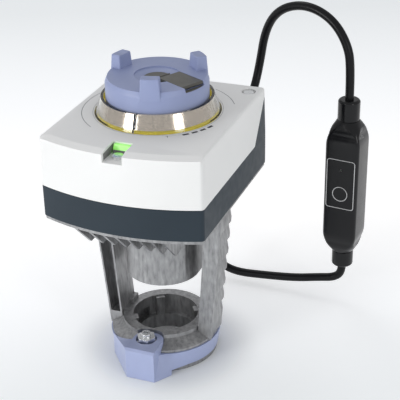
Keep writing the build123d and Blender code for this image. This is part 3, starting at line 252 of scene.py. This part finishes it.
def smooth_faces(mesh):
    """Shade all faces of a mesh smooth."""
    mesh.polygons.foreach_set("use_smooth", [True] * len(mesh.polygons))


def spline_points(route):
    """Points along the smooth spline whose control points are the route."""
    curve = bpy.data.curves.new("guide", "CURVE")
    curve.dimensions = "3D"
    curve.resolution_u = CABLE_RESOLUTION
    spline = curve.splines.new("NURBS")
    spline.points.add(len(route) - 1)
    for point, place in zip(spline.points, route):
        point.co = (*place, 1.0)
    spline.order_u = 3
    spline.use_endpoint_u = True
    guide = link("guide", curve)
    bpy.context.view_layer.update()
    graph = bpy.context.evaluated_depsgraph_get()
    line = bpy.data.meshes.new_from_object(guide.evaluated_get(graph))
    points = [vertex.co.copy() for vertex in line.vertices]
    bpy.data.objects.remove(guide)
    return points


def tube(name, points, radius, sides=CABLE_SIDES, closed=False):
    """Round tube along points, with flat ends or closed on itself."""
    work = bmesh.new()
    count = len(points)
    across = None
    rings = []
    for i, point in enumerate(points):
        before = points[i - 1] if i > 0 or closed else point
        after = points[(i + 1) % count] if i < count - 1 or closed else point
        along = (after - before).normalized()
        if across is None:
            across = along.orthogonal().normalized()
        across = (across - along * across.dot(along)).normalized()
        beside = along.cross(across)
        ring = []
        for side in range(sides):
            turn = 2 * math.pi * side / sides
            out = math.cos(turn) * across + math.sin(turn) * beside
            ring.append(work.verts.new(point + radius * out))
        rings.append(ring)
    pairs = list(zip(rings, rings[1:]))
    if closed:
        pairs.append((rings[-1], rings[0]))
    for low, high in pairs:
        for side in range(sides):
            following = (side + 1) % sides
            work.faces.new((low[side], low[following], high[following], high[side]))
    if not closed:
        work.faces.new(list(reversed(rings[0])))
        work.faces.new(rings[-1])
    piece = link_mesh(name, work)
    smooth_faces(piece.data)
    piece.data.set_sharp_from_angle(angle=TUBE_SHARP_ANGLE)
    return piece


upper_path = spline_points(UPPER_ROUTE)
lower_path = spline_points(LOWER_ROUTE)
upper_cable = tube("upper_cable_sheath", upper_path, CABLE_DIAMETER / 2)
lower_cable = tube("lower_cable_sheath", lower_path, CABLE_DIAMETER / 2)
for sheath, node in ((upper_cable, "upper_cable"), (lower_cable, "lower_cable")):
    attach(sheath, "root")
    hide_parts(node)


def new_material(name):
    """Empty node material: returns it with its tree and its main shader."""
    material = bpy.data.materials.new(name)
    material.use_nodes = True
    tree = material.node_tree
    return material, tree, tree.nodes["Principled BSDF"]


def noise(tree, scale, detail=4.0, stretch=(1, 1, 1)):
    """Noise in the object's own metres, scale features to the metre."""
    place = tree.nodes.new("ShaderNodeTexCoord")
    mapping = tree.nodes.new("ShaderNodeMapping")
    mapping.inputs["Scale"].default_value = stretch
    texture = tree.nodes.new("ShaderNodeTexNoise")
    texture.inputs["Scale"].default_value = scale
    texture.inputs["Detail"].default_value = detail
    tree.links.new(place.outputs["Object"], mapping.inputs["Vector"])
    tree.links.new(mapping.outputs["Vector"], texture.inputs["Vector"])
    return texture.outputs["Fac"]


def blend_tones(tree, factor, stops):
    """Colour ramp from (position, colour) stops."""
    ramp = tree.nodes.new("ShaderNodeValToRGB")
    elements = ramp.color_ramp.elements
    while len(elements) < len(stops):
        elements.new(0.5)
    for element, (position, tone) in zip(elements, stops):
        element.position = position
        element.color = (*tone, 1.0)
    tree.links.new(factor, ramp.inputs["Fac"])
    return ramp.outputs["Color"]


def two_tones(tree, factor, low, high):
    """Colour between two tones over a noise's middle range."""
    return blend_tones(tree, factor, [(NOISE_LOW, low), (NOISE_HIGH, high)])


def spread(tree, factor, low, high):
    """Map a noise's middle range onto low to high."""
    node = tree.nodes.new("ShaderNodeMapRange")
    node.inputs["From Min"].default_value = NOISE_LOW
    node.inputs["From Max"].default_value = NOISE_HIGH
    node.inputs["To Min"].default_value = low
    node.inputs["To Max"].default_value = high
    tree.links.new(factor, node.inputs["Value"])
    return node.outputs["Result"]


def bump(tree, height, strength, distance, under=None):
    """Bump from a height, in metres, over an earlier bump."""
    node = tree.nodes.new("ShaderNodeBump")
    node.inputs["Strength"].default_value = strength
    node.inputs["Distance"].default_value = distance
    tree.links.new(height, node.inputs["Height"])
    if under is not None:
        tree.links.new(under, node.inputs["Normal"])
    return node.outputs["Normal"]


def shade(tone, amount):
    """Lighter or darker tone."""
    return tuple(min(1.0, channel * amount) for channel in tone)


def moulded(name, tone, rough, grain=1600.0, depth=0.00003, variation=0.05, gloss=0.5):
    """Moulded plastic: faint colour drift, uneven gloss and a fine eroded grain."""
    material, tree, shader = new_material(name)
    drift = noise(tree, 22.0)
    tones = two_tones(tree, drift, shade(tone, 1 - variation), shade(tone, 1 + variation))
    tree.links.new(tones, shader.inputs["Base Color"])
    smear = noise(tree, 130.0, 5.0)
    tree.links.new(spread(tree, smear, rough - 0.04, rough + 0.06), shader.inputs["Roughness"])
    fine = noise(tree, grain, 3.0)
    tree.links.new(bump(tree, fine, 0.25, depth), shader.inputs["Normal"])
    shader.inputs["Specular IOR Level"].default_value = gloss
    return material


def cast_aluminium():
    """Die casting: blotchy grey metal with flow streaks, pits and a rough skin."""
    material, tree, shader = new_material("cast_aluminium")
    clouds = noise(tree, 380.0, 9.0, stretch=(1, 1, 0.30))
    stops = [
        (0.28, (0.23, 0.23, 0.235)),
        (0.45, (0.33, 0.33, 0.335)),
        (0.60, (0.39, 0.39, 0.395)),
        (0.78, (0.50, 0.50, 0.505)),
    ]
    tree.links.new(blend_tones(tree, clouds, stops), shader.inputs["Base Color"])
    shader.inputs["Metallic"].default_value = 0.85
    streaks = noise(tree, 240.0, 4.0, stretch=(1, 1, 0.12))
    tree.links.new(spread(tree, streaks, 0.28, 0.52), shader.inputs["Roughness"])
    drag = bump(tree, streaks, 0.35, 0.0003)
    grain = noise(tree, 900.0, 6.0)
    tree.links.new(bump(tree, grain, 0.45, 0.0002, under=drag), shader.inputs["Normal"])
    return material


def painted_metal(name, tone):
    """Satin paint with a faint orange peel over a casting."""
    material, tree, shader = new_material(name)
    drift = noise(tree, 40.0)
    tones = two_tones(tree, drift, shade(tone, 0.94), shade(tone, 1.05))
    tree.links.new(tones, shader.inputs["Base Color"])
    peel = noise(tree, 420.0, 2.0)
    tree.links.new(spread(tree, peel, 0.30, 0.40), shader.inputs["Roughness"])
    tree.links.new(bump(tree, peel, 0.18, 0.0001), shader.inputs["Normal"])
    shader.inputs["Coat Weight"].default_value = 0.25
    shader.inputs["Coat Roughness"].default_value = 0.25
    return material


def bare_metal(name, tone, rough):
    """Machined or plated metal with fine tool marks."""
    material, tree, shader = new_material(name)
    marks = noise(tree, 700.0, 3.0)
    tones = two_tones(tree, marks, shade(tone, 0.88), shade(tone, 1.06))
    tree.links.new(tones, shader.inputs["Base Color"])
    shader.inputs["Metallic"].default_value = 1.0
    tree.links.new(spread(tree, marks, rough - 0.05, rough + 0.08), shader.inputs["Roughness"])
    tree.links.new(bump(tree, marks, 0.15, 0.00004), shader.inputs["Normal"])
    return material


def clear_plastic():
    """Water-clear moulding with a faint warm tint."""
    material, tree, shader = new_material("clear_plastic")
    shader.inputs["Base Color"].default_value = (0.97, 0.95, 0.91, 1.0)
    shader.inputs["Transmission Weight"].default_value = 1.0
    shader.inputs["IOR"].default_value = 1.49
    haze = noise(tree, 90.0, 3.0)
    tree.links.new(spread(tree, haze, 0.03, 0.09), shader.inputs["Roughness"])
    return material


def yellow_plastic():
    """Fluorescent yellow with a painted glow: it emits light evenly over the piece, though it
    is no lamp.
    """
    material, tree, shader = new_material("yellow_plastic")
    drift = noise(tree, 60.0)
    tones = two_tones(tree, drift, (0.78, 0.66, 0.03), (0.88, 0.76, 0.06))
    tree.links.new(tones, shader.inputs["Base Color"])
    shader.inputs["Roughness"].default_value = 0.3
    # Painted glow: emission on a part that is no lamp
    shader.inputs["Emission Color"].default_value = (0.8, 0.68, 0.05, 1.0)
    shader.inputs["Emission Strength"].default_value = 0.25
    return material


def green_light():
    """Lit green window with a faint haze in its tone."""
    material, tree, shader = new_material("green_light")
    haze = noise(tree, 160.0, 2.0)
    glow = two_tones(tree, haze, (0.25, 0.80, 0.12), (0.45, 0.95, 0.25))
    tree.links.new(glow, shader.inputs["Base Color"])
    tree.links.new(glow, shader.inputs["Emission Color"])
    shader.inputs["Emission Strength"].default_value = 0.35
    shader.inputs["Roughness"].default_value = 0.25
    return material


def ink(name, tone):
    """Pad-printed ink with slightly uneven cover."""
    material, tree, shader = new_material(name)
    cover = noise(tree, 900.0, 2.0)
    tones = two_tones(tree, cover, shade(tone, 0.85), shade(tone, 1.1))
    tree.links.new(tones, shader.inputs["Base Color"])
    shader.inputs["Roughness"].default_value = 0.9
    return material


WHITE = (0.82, 0.82, 0.81)
SLATE = (0.026, 0.038, 0.050)
BLUE = (0.280, 0.325, 0.520)
CLAMP_BLUE = (0.360, 0.410, 0.620)
BLACK = (0.006, 0.006, 0.007)

materials = {
    "white_plastic": moulded("white_plastic", WHITE, 0.55, variation=0.015, gloss=0.35),
    "slate_plastic": moulded("slate_plastic", SLATE, 0.42, variation=0.06, gloss=0.22),
    "blue_plastic": moulded("blue_plastic", BLUE, 0.44, variation=0.04),
    "black_plastic": moulded(
        "black_plastic", BLACK, 0.19, depth=0.00001, variation=0.15, gloss=0.32
    ),
    "black_cable": moulded(
        "black_cable", BLACK, 0.32, grain=900.0, depth=0.00006, variation=0.2, gloss=0.2
    ),
    "grey_plastic": moulded("grey_plastic", (0.085, 0.082, 0.070), 0.40, variation=0.08),
    "white_gear": moulded("white_gear", (0.78, 0.77, 0.71), 0.35, variation=0.03),
    "seal_rubber": moulded("seal_rubber", (0.02, 0.02, 0.02), 0.7, variation=0.1),
    "green_board": moulded("green_board", (0.02, 0.17, 0.06), 0.3, variation=0.2),
    "grey_terminals": moulded("grey_terminals", (0.32, 0.34, 0.35), 0.5),
    "cast_aluminium": cast_aluminium(),
    "blue_clamp": painted_metal("blue_clamp", CLAMP_BLUE),
    "zinc_steel": bare_metal("zinc_steel", (0.80, 0.81, 0.82), 0.18),
    "steel": bare_metal("steel", (0.56, 0.56, 0.57), 0.30),
    "silvering": bare_metal("silvering", (0.66, 0.61, 0.56), 0.14),
    "brass": bare_metal("brass", (0.74, 0.57, 0.26), 0.28),
    "bronze": bare_metal("bronze", (0.52, 0.36, 0.20), 0.42),
    "clear_plastic": clear_plastic(),
    "yellow_plastic": yellow_plastic(),
    "green_light": green_light(),
    "grey_ink": ink("grey_ink", (0.06, 0.06, 0.065)),
    "pale_ink": ink("pale_ink", (0.28, 0.28, 0.29)),
    "white_ink": ink("white_ink", (0.62, 0.62, 0.62)),
    # Painted shade for the notch's left wall and the lower half of its light, made with the
    # ink function though it is no print
    "notch_painted_shade": ink("notch_painted_shade", (0.20, 0.20, 0.20)),
}
slot_of = {part["node"]: part["material_slot"] for part in frame["record"]["subparts"]}


def dress(piece, material):
    """Give a piece one of the materials, by its name."""
    piece.data.materials.clear()
    piece.data.materials.append(materials[material])


for name, node in nodes.items():
    dress(node, slot_of[name])
for piece in (upper_cable, lower_cable):
    dress(piece, "black_cable")


def body_of(node):
    """Name of the body that holds a node."""
    for body, members in frame["record"]["behaviour"]["bodies"].items():
        if node in members:
            return body
    raise ValueError(node)


def round_shoulders(work):
    """Turn the module's shoulder kinks into soft curves."""
    for kink in SHOULDER_KINKS:
        for step in range(-SHOULDER_CUTS, SHOULDER_CUTS + 1):
            height = kink + step * SHOULDER_REACH / SHOULDER_CUTS
            bmesh.ops.bisect_plane(
                work,
                geom=work.verts[:] + work.edges[:] + work.faces[:],
                plane_co=(0, 0, height),
                plane_no=(0, 0, 1),
            )
        for vertex in work.verts:
            away = (vertex.co.z - kink) / SHOULDER_REACH
            if abs(away) < 1:
                pull = SHOULDER_PULL * (1 - abs(away)) ** 2
                across = vertex.co - MODULE_AXIS
                across.z = 0
                vertex.co -= across * pull
    bmesh.ops.remove_doubles(work, verts=work.verts, dist=SHOULDER_MERGE)
    bmesh.ops.dissolve_degenerate(work, edges=work.edges, dist=MERGE_DISTANCE)


def flatten_sides(mesh):
    """Shade the module's front, rear and side faces flat."""
    side = Vector((math.cos(MODULE_TURN), math.sin(MODULE_TURN), 0))
    front = Vector((math.sin(MODULE_TURN), -math.cos(MODULE_TURN), 0))
    for face in mesh.polygons:
        square = max(abs(face.normal.dot(side)), abs(face.normal.dot(front)))
        face.use_smooth = square < FLAT_FACE_COSINE


def even_shading(piece):
    """Let the large faces next to a rounded edge look flat."""
    piece.modifiers.new("even_shading", "WEIGHTED_NORMAL").keep_sharp = True


def soften(node, width, sharp):
    """Skin of a node with its sharp edges rounded and its curved faces smooth."""
    mesh = nodes[node].data.copy()
    work = bmesh.new()
    work.from_mesh(mesh)
    bmesh.ops.remove_doubles(work, verts=work.verts, dist=MERGE_DISTANCE)
    bmesh.ops.dissolve_limit(work, angle_limit=FLAT_ANGLE, verts=work.verts, edges=work.edges)
    if node in MODULE_SHELLS:
        round_shoulders(work)
    work.to_mesh(mesh)
    work.free()
    piece = link(node + "_skin", mesh)
    if width > 0:
        rounding = piece.modifiers.new("rounding", "BEVEL")
        rounding.width = width
        rounding.segments = BEVEL_SEGMENTS
        rounding.limit_method = "ANGLE"
        rounding.angle_limit = BEVEL_ANGLE
        rounding.use_clamp_overlap = True
        rounding.miter_outer = "MITER_ARC"
    bpy.context.view_layer.update()
    graph = bpy.context.evaluated_depsgraph_get()
    rounded = bpy.data.meshes.new_from_object(piece.evaluated_get(graph))
    piece.modifiers.clear()
    piece.data = rounded
    smooth_faces(rounded)
    if node in MODULE_SHELLS:
        flatten_sides(rounded)
    rounded.set_sharp_from_angle(angle=math.radians(sharp))
    if width > 0:
        even_shading(piece)
    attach(piece, body_of(node))
    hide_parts(node)
    dress(piece, slot_of[node])
    return piece


# Nodes that get a skin: width of its rounded edges, and the angle in degrees of a sharp edge
SOFT_EDGES = {
    "housing_cover": (0.0, 20.0),
    "housing_base": (0.0006, 38.0),
    "knob": (0.0005, 17.0),
    "neck_clamp": (0.0018, 38.0),
    "yoke_casting": (0.0007, 30.0),
    "crank": (0.0002, 18.0),
    "module_front": (0.0, 44.0),
    "module_rear": (0.0, 44.0),
    "module_collars": (0.0006, 38.0),
    "gland_bodies": (0.0004, 38.0),
    "blanking_plug": (0.0004, 38.0),
    "clamp_bolt": (0.0003, 30.0),
}
skins = {name: soften(name, width, sharp) for name, (width, sharp) in SOFT_EDGES.items()}


def split_collars():
    """Upper and lower collar of the module as two pieces, one for each cord."""
    upper = skins.pop("module_collars")
    lower = link("module_lower_collar", upper.data.copy())
    even_shading(lower)
    upper.name = "module_upper_collar"
    low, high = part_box("module_collars")
    middle = (low.z + high.z) / 2
    for piece, side in ((upper, 1), (lower, -1)):
        work = bmesh.new()
        work.from_mesh(piece.data)
        away = [vertex for vertex in work.verts if side * (vertex.co.z - middle) < 0]
        bmesh.ops.delete(work, geom=away, context="VERTS")
        work.to_mesh(piece.data)
        work.free()
    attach(lower, "root")
    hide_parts("module_collars")
    return upper, lower


upper_collar, lower_collar = split_collars()


def flat_piece(name, outlines, material, body="root"):
    """Flat piece from closed outlines, each a list of points."""
    work = bmesh.new()
    for outline in outlines:
        work.faces.new([work.verts.new(point) for point in outline])
    piece = link_mesh(name, work)
    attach(piece, body)
    dress(piece, material)


def arc_band(radius, start, end, width, z, steps):
    """Outline of a flat band along an arc round the stem's axis."""
    turns = [math.radians(start + (end - start) * i / steps) for i in range(steps + 1)]
    inner, outer = radius - width / 2, radius + width / 2
    out = [Vector((outer * math.cos(t), outer * math.sin(t), z)) for t in turns]
    back = [Vector((inner * math.cos(t), inner * math.sin(t), z)) for t in reversed(turns)]
    return out + back


def cover_print():
    """Scale and guide arcs printed on the cover round the position ring."""
    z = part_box("housing_cover")[1].z + PRINT_LIFT
    arcs = []
    for radius, start, end, width in PRINT_ARCS:
        # Two halves, so that the full circle isn't one face that meets itself
        middle = (start + end) / 2
        arcs.append(arc_band(radius, start, middle, width, z, PRINT_ARC_STEPS))
        arcs.append(arc_band(radius, middle, end, width, z, PRINT_ARC_STEPS))
    flat_piece("cover_arcs", arcs, "pale_ink")
    scale = []
    for angle in PRINT_DASHES:
        start, end = angle - PRINT_DASH_HALF_ANGLE, angle + PRINT_DASH_HALF_ANGLE
        scale.append(arc_band(PRINT_DASH_RADIUS, start, end, PRINT_SCALE_WIDTH, z, steps=4))
    start = PRINT_TICK_ANGLE - PRINT_TICK_HALF_ANGLE
    end = PRINT_TICK_ANGLE + PRINT_TICK_HALF_ANGLE
    scale.append(arc_band(PRINT_TICK_RADIUS, start, end, PRINT_SCALE_WIDTH, z, steps=2))
    flat_piece("cover_scale", scale, "grey_ink")


cover_print()


def module_point(across, out, z):
    """Point on the module: across its width, out from its front face, up."""
    ct, st = math.cos(MODULE_TURN), math.sin(MODULE_TURN)
    local_y = -MODULE_DEPTH / 2 - out
    x = MODULE_AXIS.x + across * ct - local_y * st
    y = MODULE_AXIS.y + across * st + local_y * ct
    return Vector((x, y, z))


def line_along(name, points, width, material, closed=True, body="root"):
    """Thin raised line along points."""
    piece = tube(name, points, width / 2, sides=LINE_SIDES, closed=closed)
    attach(piece, body)
    dress(piece, material)
    return piece


def module_marks():
    """White outline of the module's label field and the ring round its button."""
    half_width = LABEL_WIDTH / 2 - LABEL_CORNER
    half_height = LABEL_HEIGHT / 2 - LABEL_CORNER
    outline = []
    for quarter, (side, rise) in enumerate([(1, 1), (-1, 1), (-1, -1), (1, -1)]):
        for step in range(LABEL_CORNER_STEPS + 1):
            turn = math.radians(90 * quarter + 90 / LABEL_CORNER_STEPS * step)
            across = side * half_width + LABEL_CORNER * math.cos(turn)
            up = rise * half_height + LABEL_CORNER * math.sin(turn)
            outline.append(module_point(across, -LINE_SINK, LABEL_Z + up))
    label = line_along("module_label_line", outline, LABEL_LINE, "white_ink")
    ring = []
    for step in range(BUTTON_RING_STEPS):
        turn = 2 * math.pi * step / BUTTON_RING_STEPS
        across = BUTTON_RING_RADIUS * math.cos(turn)
        up = BUTTON_RING_RADIUS * math.sin(turn)
        ring.append(module_point(across, -LINE_SINK, BUTTON_Z + up))
    return [label, line_along("module_button_ring", ring, LABEL_LINE, "white_ink")]


marks = module_marks()
module_pieces = [skins.get(name, nodes[name]) for name in MODULE_NODES] + marks
module_pieces.append(upper_collar)


def index_line():
    """Dark index line down the clear ring, at its front."""
    top_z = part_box("position_ring")[1].z
    low_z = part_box("housing_cover")[1].z
    foot = Vector((0, -RING_FOOT_RADIUS - PRINT_LIFT, low_z))
    top = Vector((0, -RING_TOP_RADIUS - PRINT_LIFT, top_z))
    line_along("index_line", [foot, top], INDEX_LINE_WIDTH, "grey_ink", False, "position_ring")


index_line()


def silver_cone():
    """Silvered inner face of the clear ring, above the yellow ring's edge."""
    low_z, top_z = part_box("housing_cover")[1].z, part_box("position_ring")[1].z
    slope = (RING_FOOT_RADIUS - RING_TOP_RADIUS) / (top_z - low_z)
    turns = [2 * math.pi * step / SILVER_STEPS for step in range(SILVER_STEPS)]
    work = bmesh.new()
    rings = []
    for z in (low_z + SILVER_LIFT, top_z - SILVER_TOP_GAP):
        radius = RING_FOOT_RADIUS - RING_WALL - slope * (z - low_z) - SILVER_CLEARANCE
        points = [(radius * math.cos(turn), radius * math.sin(turn), z) for turn in turns]
        rings.append([work.verts.new(point) for point in points])
    low, high = rings
    for step in range(SILVER_STEPS):
        following = (step + 1) % SILVER_STEPS
        work.faces.new((low[step], low[following], high[following], high[step]))
    piece = link_mesh("silver_cone", work)
    smooth_faces(piece.data)
    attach(piece, "position_ring")
    dress(piece, "silvering")


def painted_slot_shade():
    """Painted shade: a dark strip on the floor of the crank's slot, between the crank's end
    and the knob's bevel.
    """
    points = []
    for step in range(SLOT_EDGE_STEPS + 1):
        y = SLOT_OFFSET - SLOT_HALF_WIDTH + 2 * SLOT_HALF_WIDTH * step / SLOT_EDGE_STEPS
        points.append((math.sqrt(SLOT_RADIUS**2 - y**2), y))
    points.append((SLOT_START, SLOT_OFFSET + SLOT_HALF_WIDTH))
    points.append((SLOT_START, SLOT_OFFSET - SLOT_HALF_WIDTH))
    ct, st = math.cos(SLOT_ANGLE), math.sin(SLOT_ANGLE)
    z = SLOT_FLOOR_Z + PRINT_LIFT
    outline = [Vector((x * ct - y * st, x * st + y * ct, z)) for x, y in points]
    flat_piece("painted_slot_shade", [outline], "grey_plastic", "main_drive")


def notch_shades():
    """Painted shade: dark sheets on the notch's left wall and over the lower half of its
    light.
    """
    wall_x = -NOTCH_HALF_WIDTH + PRINT_LIFT
    front = NOTCH_BACK_Y - NOTCH_WALL_LENGTH
    wall_foot = NOTCH_FLOOR_Z + WALL_SHADE_LIFT
    wall = [
        Vector((wall_x, front, wall_foot)),
        Vector((wall_x, NOTCH_BACK_Y, wall_foot)),
        Vector((wall_x, NOTCH_BACK_Y, LIGHT_TOP_Z)),
        Vector((wall_x, front, LIGHT_TOP_Z - WALL_SHADE_DROP)),
    ]
    foot_y = NOTCH_BACK_Y - LIGHT_DEPTH - LIGHT_SHADE_GAP
    foot_z = NOTCH_FLOOR_Z + LIGHT_SHADE_LIFT
    middle_y = NOTCH_BACK_Y - LIGHT_SHADE_TOP_SHARE * LIGHT_DEPTH - LIGHT_SHADE_GAP
    middle_z = (NOTCH_FLOOR_Z + LIGHT_TOP_Z) / 2
    plate = [
        Vector((-LIGHT_HALF_LENGTH, foot_y, foot_z)),
        Vector((LIGHT_HALF_LENGTH, foot_y, foot_z)),
        Vector((LIGHT_HALF_LENGTH, middle_y, middle_z)),
        Vector((-LIGHT_HALF_LENGTH, middle_y, middle_z)),
    ]
    flat_piece("notch_shades", [wall, plate], "notch_painted_shade")


silver_cone()
painted_slot_shade()
notch_shades()


def pale_floor():
    """Pale floor that glows with painted light, whitest behind the object and cooler near and
    far, with a painted shadow near the part.
    """
    material, tree, shader = new_material("floor")
    place = tree.nodes.new("ShaderNodeTexCoord")
    depth = tree.nodes.new("ShaderNodeVectorMath")
    depth.operation = "DOT_PRODUCT"
    depth.inputs[1].default_value = (-math.sin(CAMERA_AZIMUTH), math.cos(CAMERA_AZIMUTH), 0.0)
    tree.links.new(place.outputs["Object"], depth.inputs[0])
    scale = tree.nodes.new("ShaderNodeMapRange")
    scale.inputs["From Min"].default_value = FLOOR_NEAR
    scale.inputs["From Max"].default_value = FLOOR_FAR
    tree.links.new(depth.outputs["Value"], scale.inputs["Value"])
    # Painted light: the floor's tones and glow are whitest in a band behind the object
    tones = blend_tones(tree, scale.outputs["Result"], FLOOR_PAINTED_LIGHT_TONES)
    tree.links.new(tones, shader.inputs["Base Color"])
    tree.links.new(tones, shader.inputs["Emission Color"])
    away = tree.nodes.new("ShaderNodeVectorMath")
    away.operation = "LENGTH"
    tree.links.new(place.outputs["Object"], away.inputs[0])
    # Painted shadow: the floor's glow drops towards the part's foot
    painted_shadow = tree.nodes.new("ShaderNodeMapRange")
    painted_shadow.interpolation_type = "SMOOTHSTEP"
    painted_shadow.inputs["From Min"].default_value = PAINTED_SHADOW_START
    painted_shadow.inputs["From Max"].default_value = PAINTED_SHADOW_END
    painted_shadow.inputs["To Min"].default_value = PAINTED_SHADOW_GLOW
    painted_shadow.inputs["To Max"].default_value = FLOOR_GLOW
    tree.links.new(away.outputs["Value"], painted_shadow.inputs["Value"])
    tree.links.new(painted_shadow.outputs["Result"], shader.inputs["Emission Strength"])
    shader.inputs["Roughness"].default_value = 0.7
    shader.inputs["Specular IOR Level"].default_value = 0.2
    work = bmesh.new()
    bmesh.ops.create_grid(work, x_segments=1, y_segments=1, size=FLOOR_SIZE / 2)
    floor = link_mesh("floor", work)
    floor.location.z = FLOOR_Z
    floor.data.materials.append(material)


def area_light(name, place, size, power):
    """Soft square light aimed at the object."""
    data = bpy.data.lights.new(name, "AREA")
    data.size = size
    data.energy = power
    lamp = link(name, data)
    lamp.location = place
    aim = LIGHT_AIM - Vector(place)
    lamp.rotation_euler = aim.to_track_quat("-Z", "Y").to_euler()


def studio():
    """Pale surroundings, a key light at the front left and softer ones around."""
    world = bpy.data.worlds.new("studio")
    bpy.context.scene.world = world
    world.use_nodes = True
    sky = world.node_tree.nodes["Background"]
    sky.inputs["Color"].default_value = SKY_TONE
    sky.inputs["Strength"].default_value = SKY_STRENGTH
    for name, place, size, power in LIGHTS:
        area_light(name, place, size, power)
    bpy.context.scene.view_settings.view_transform = "Standard"


pale_floor()
studio()
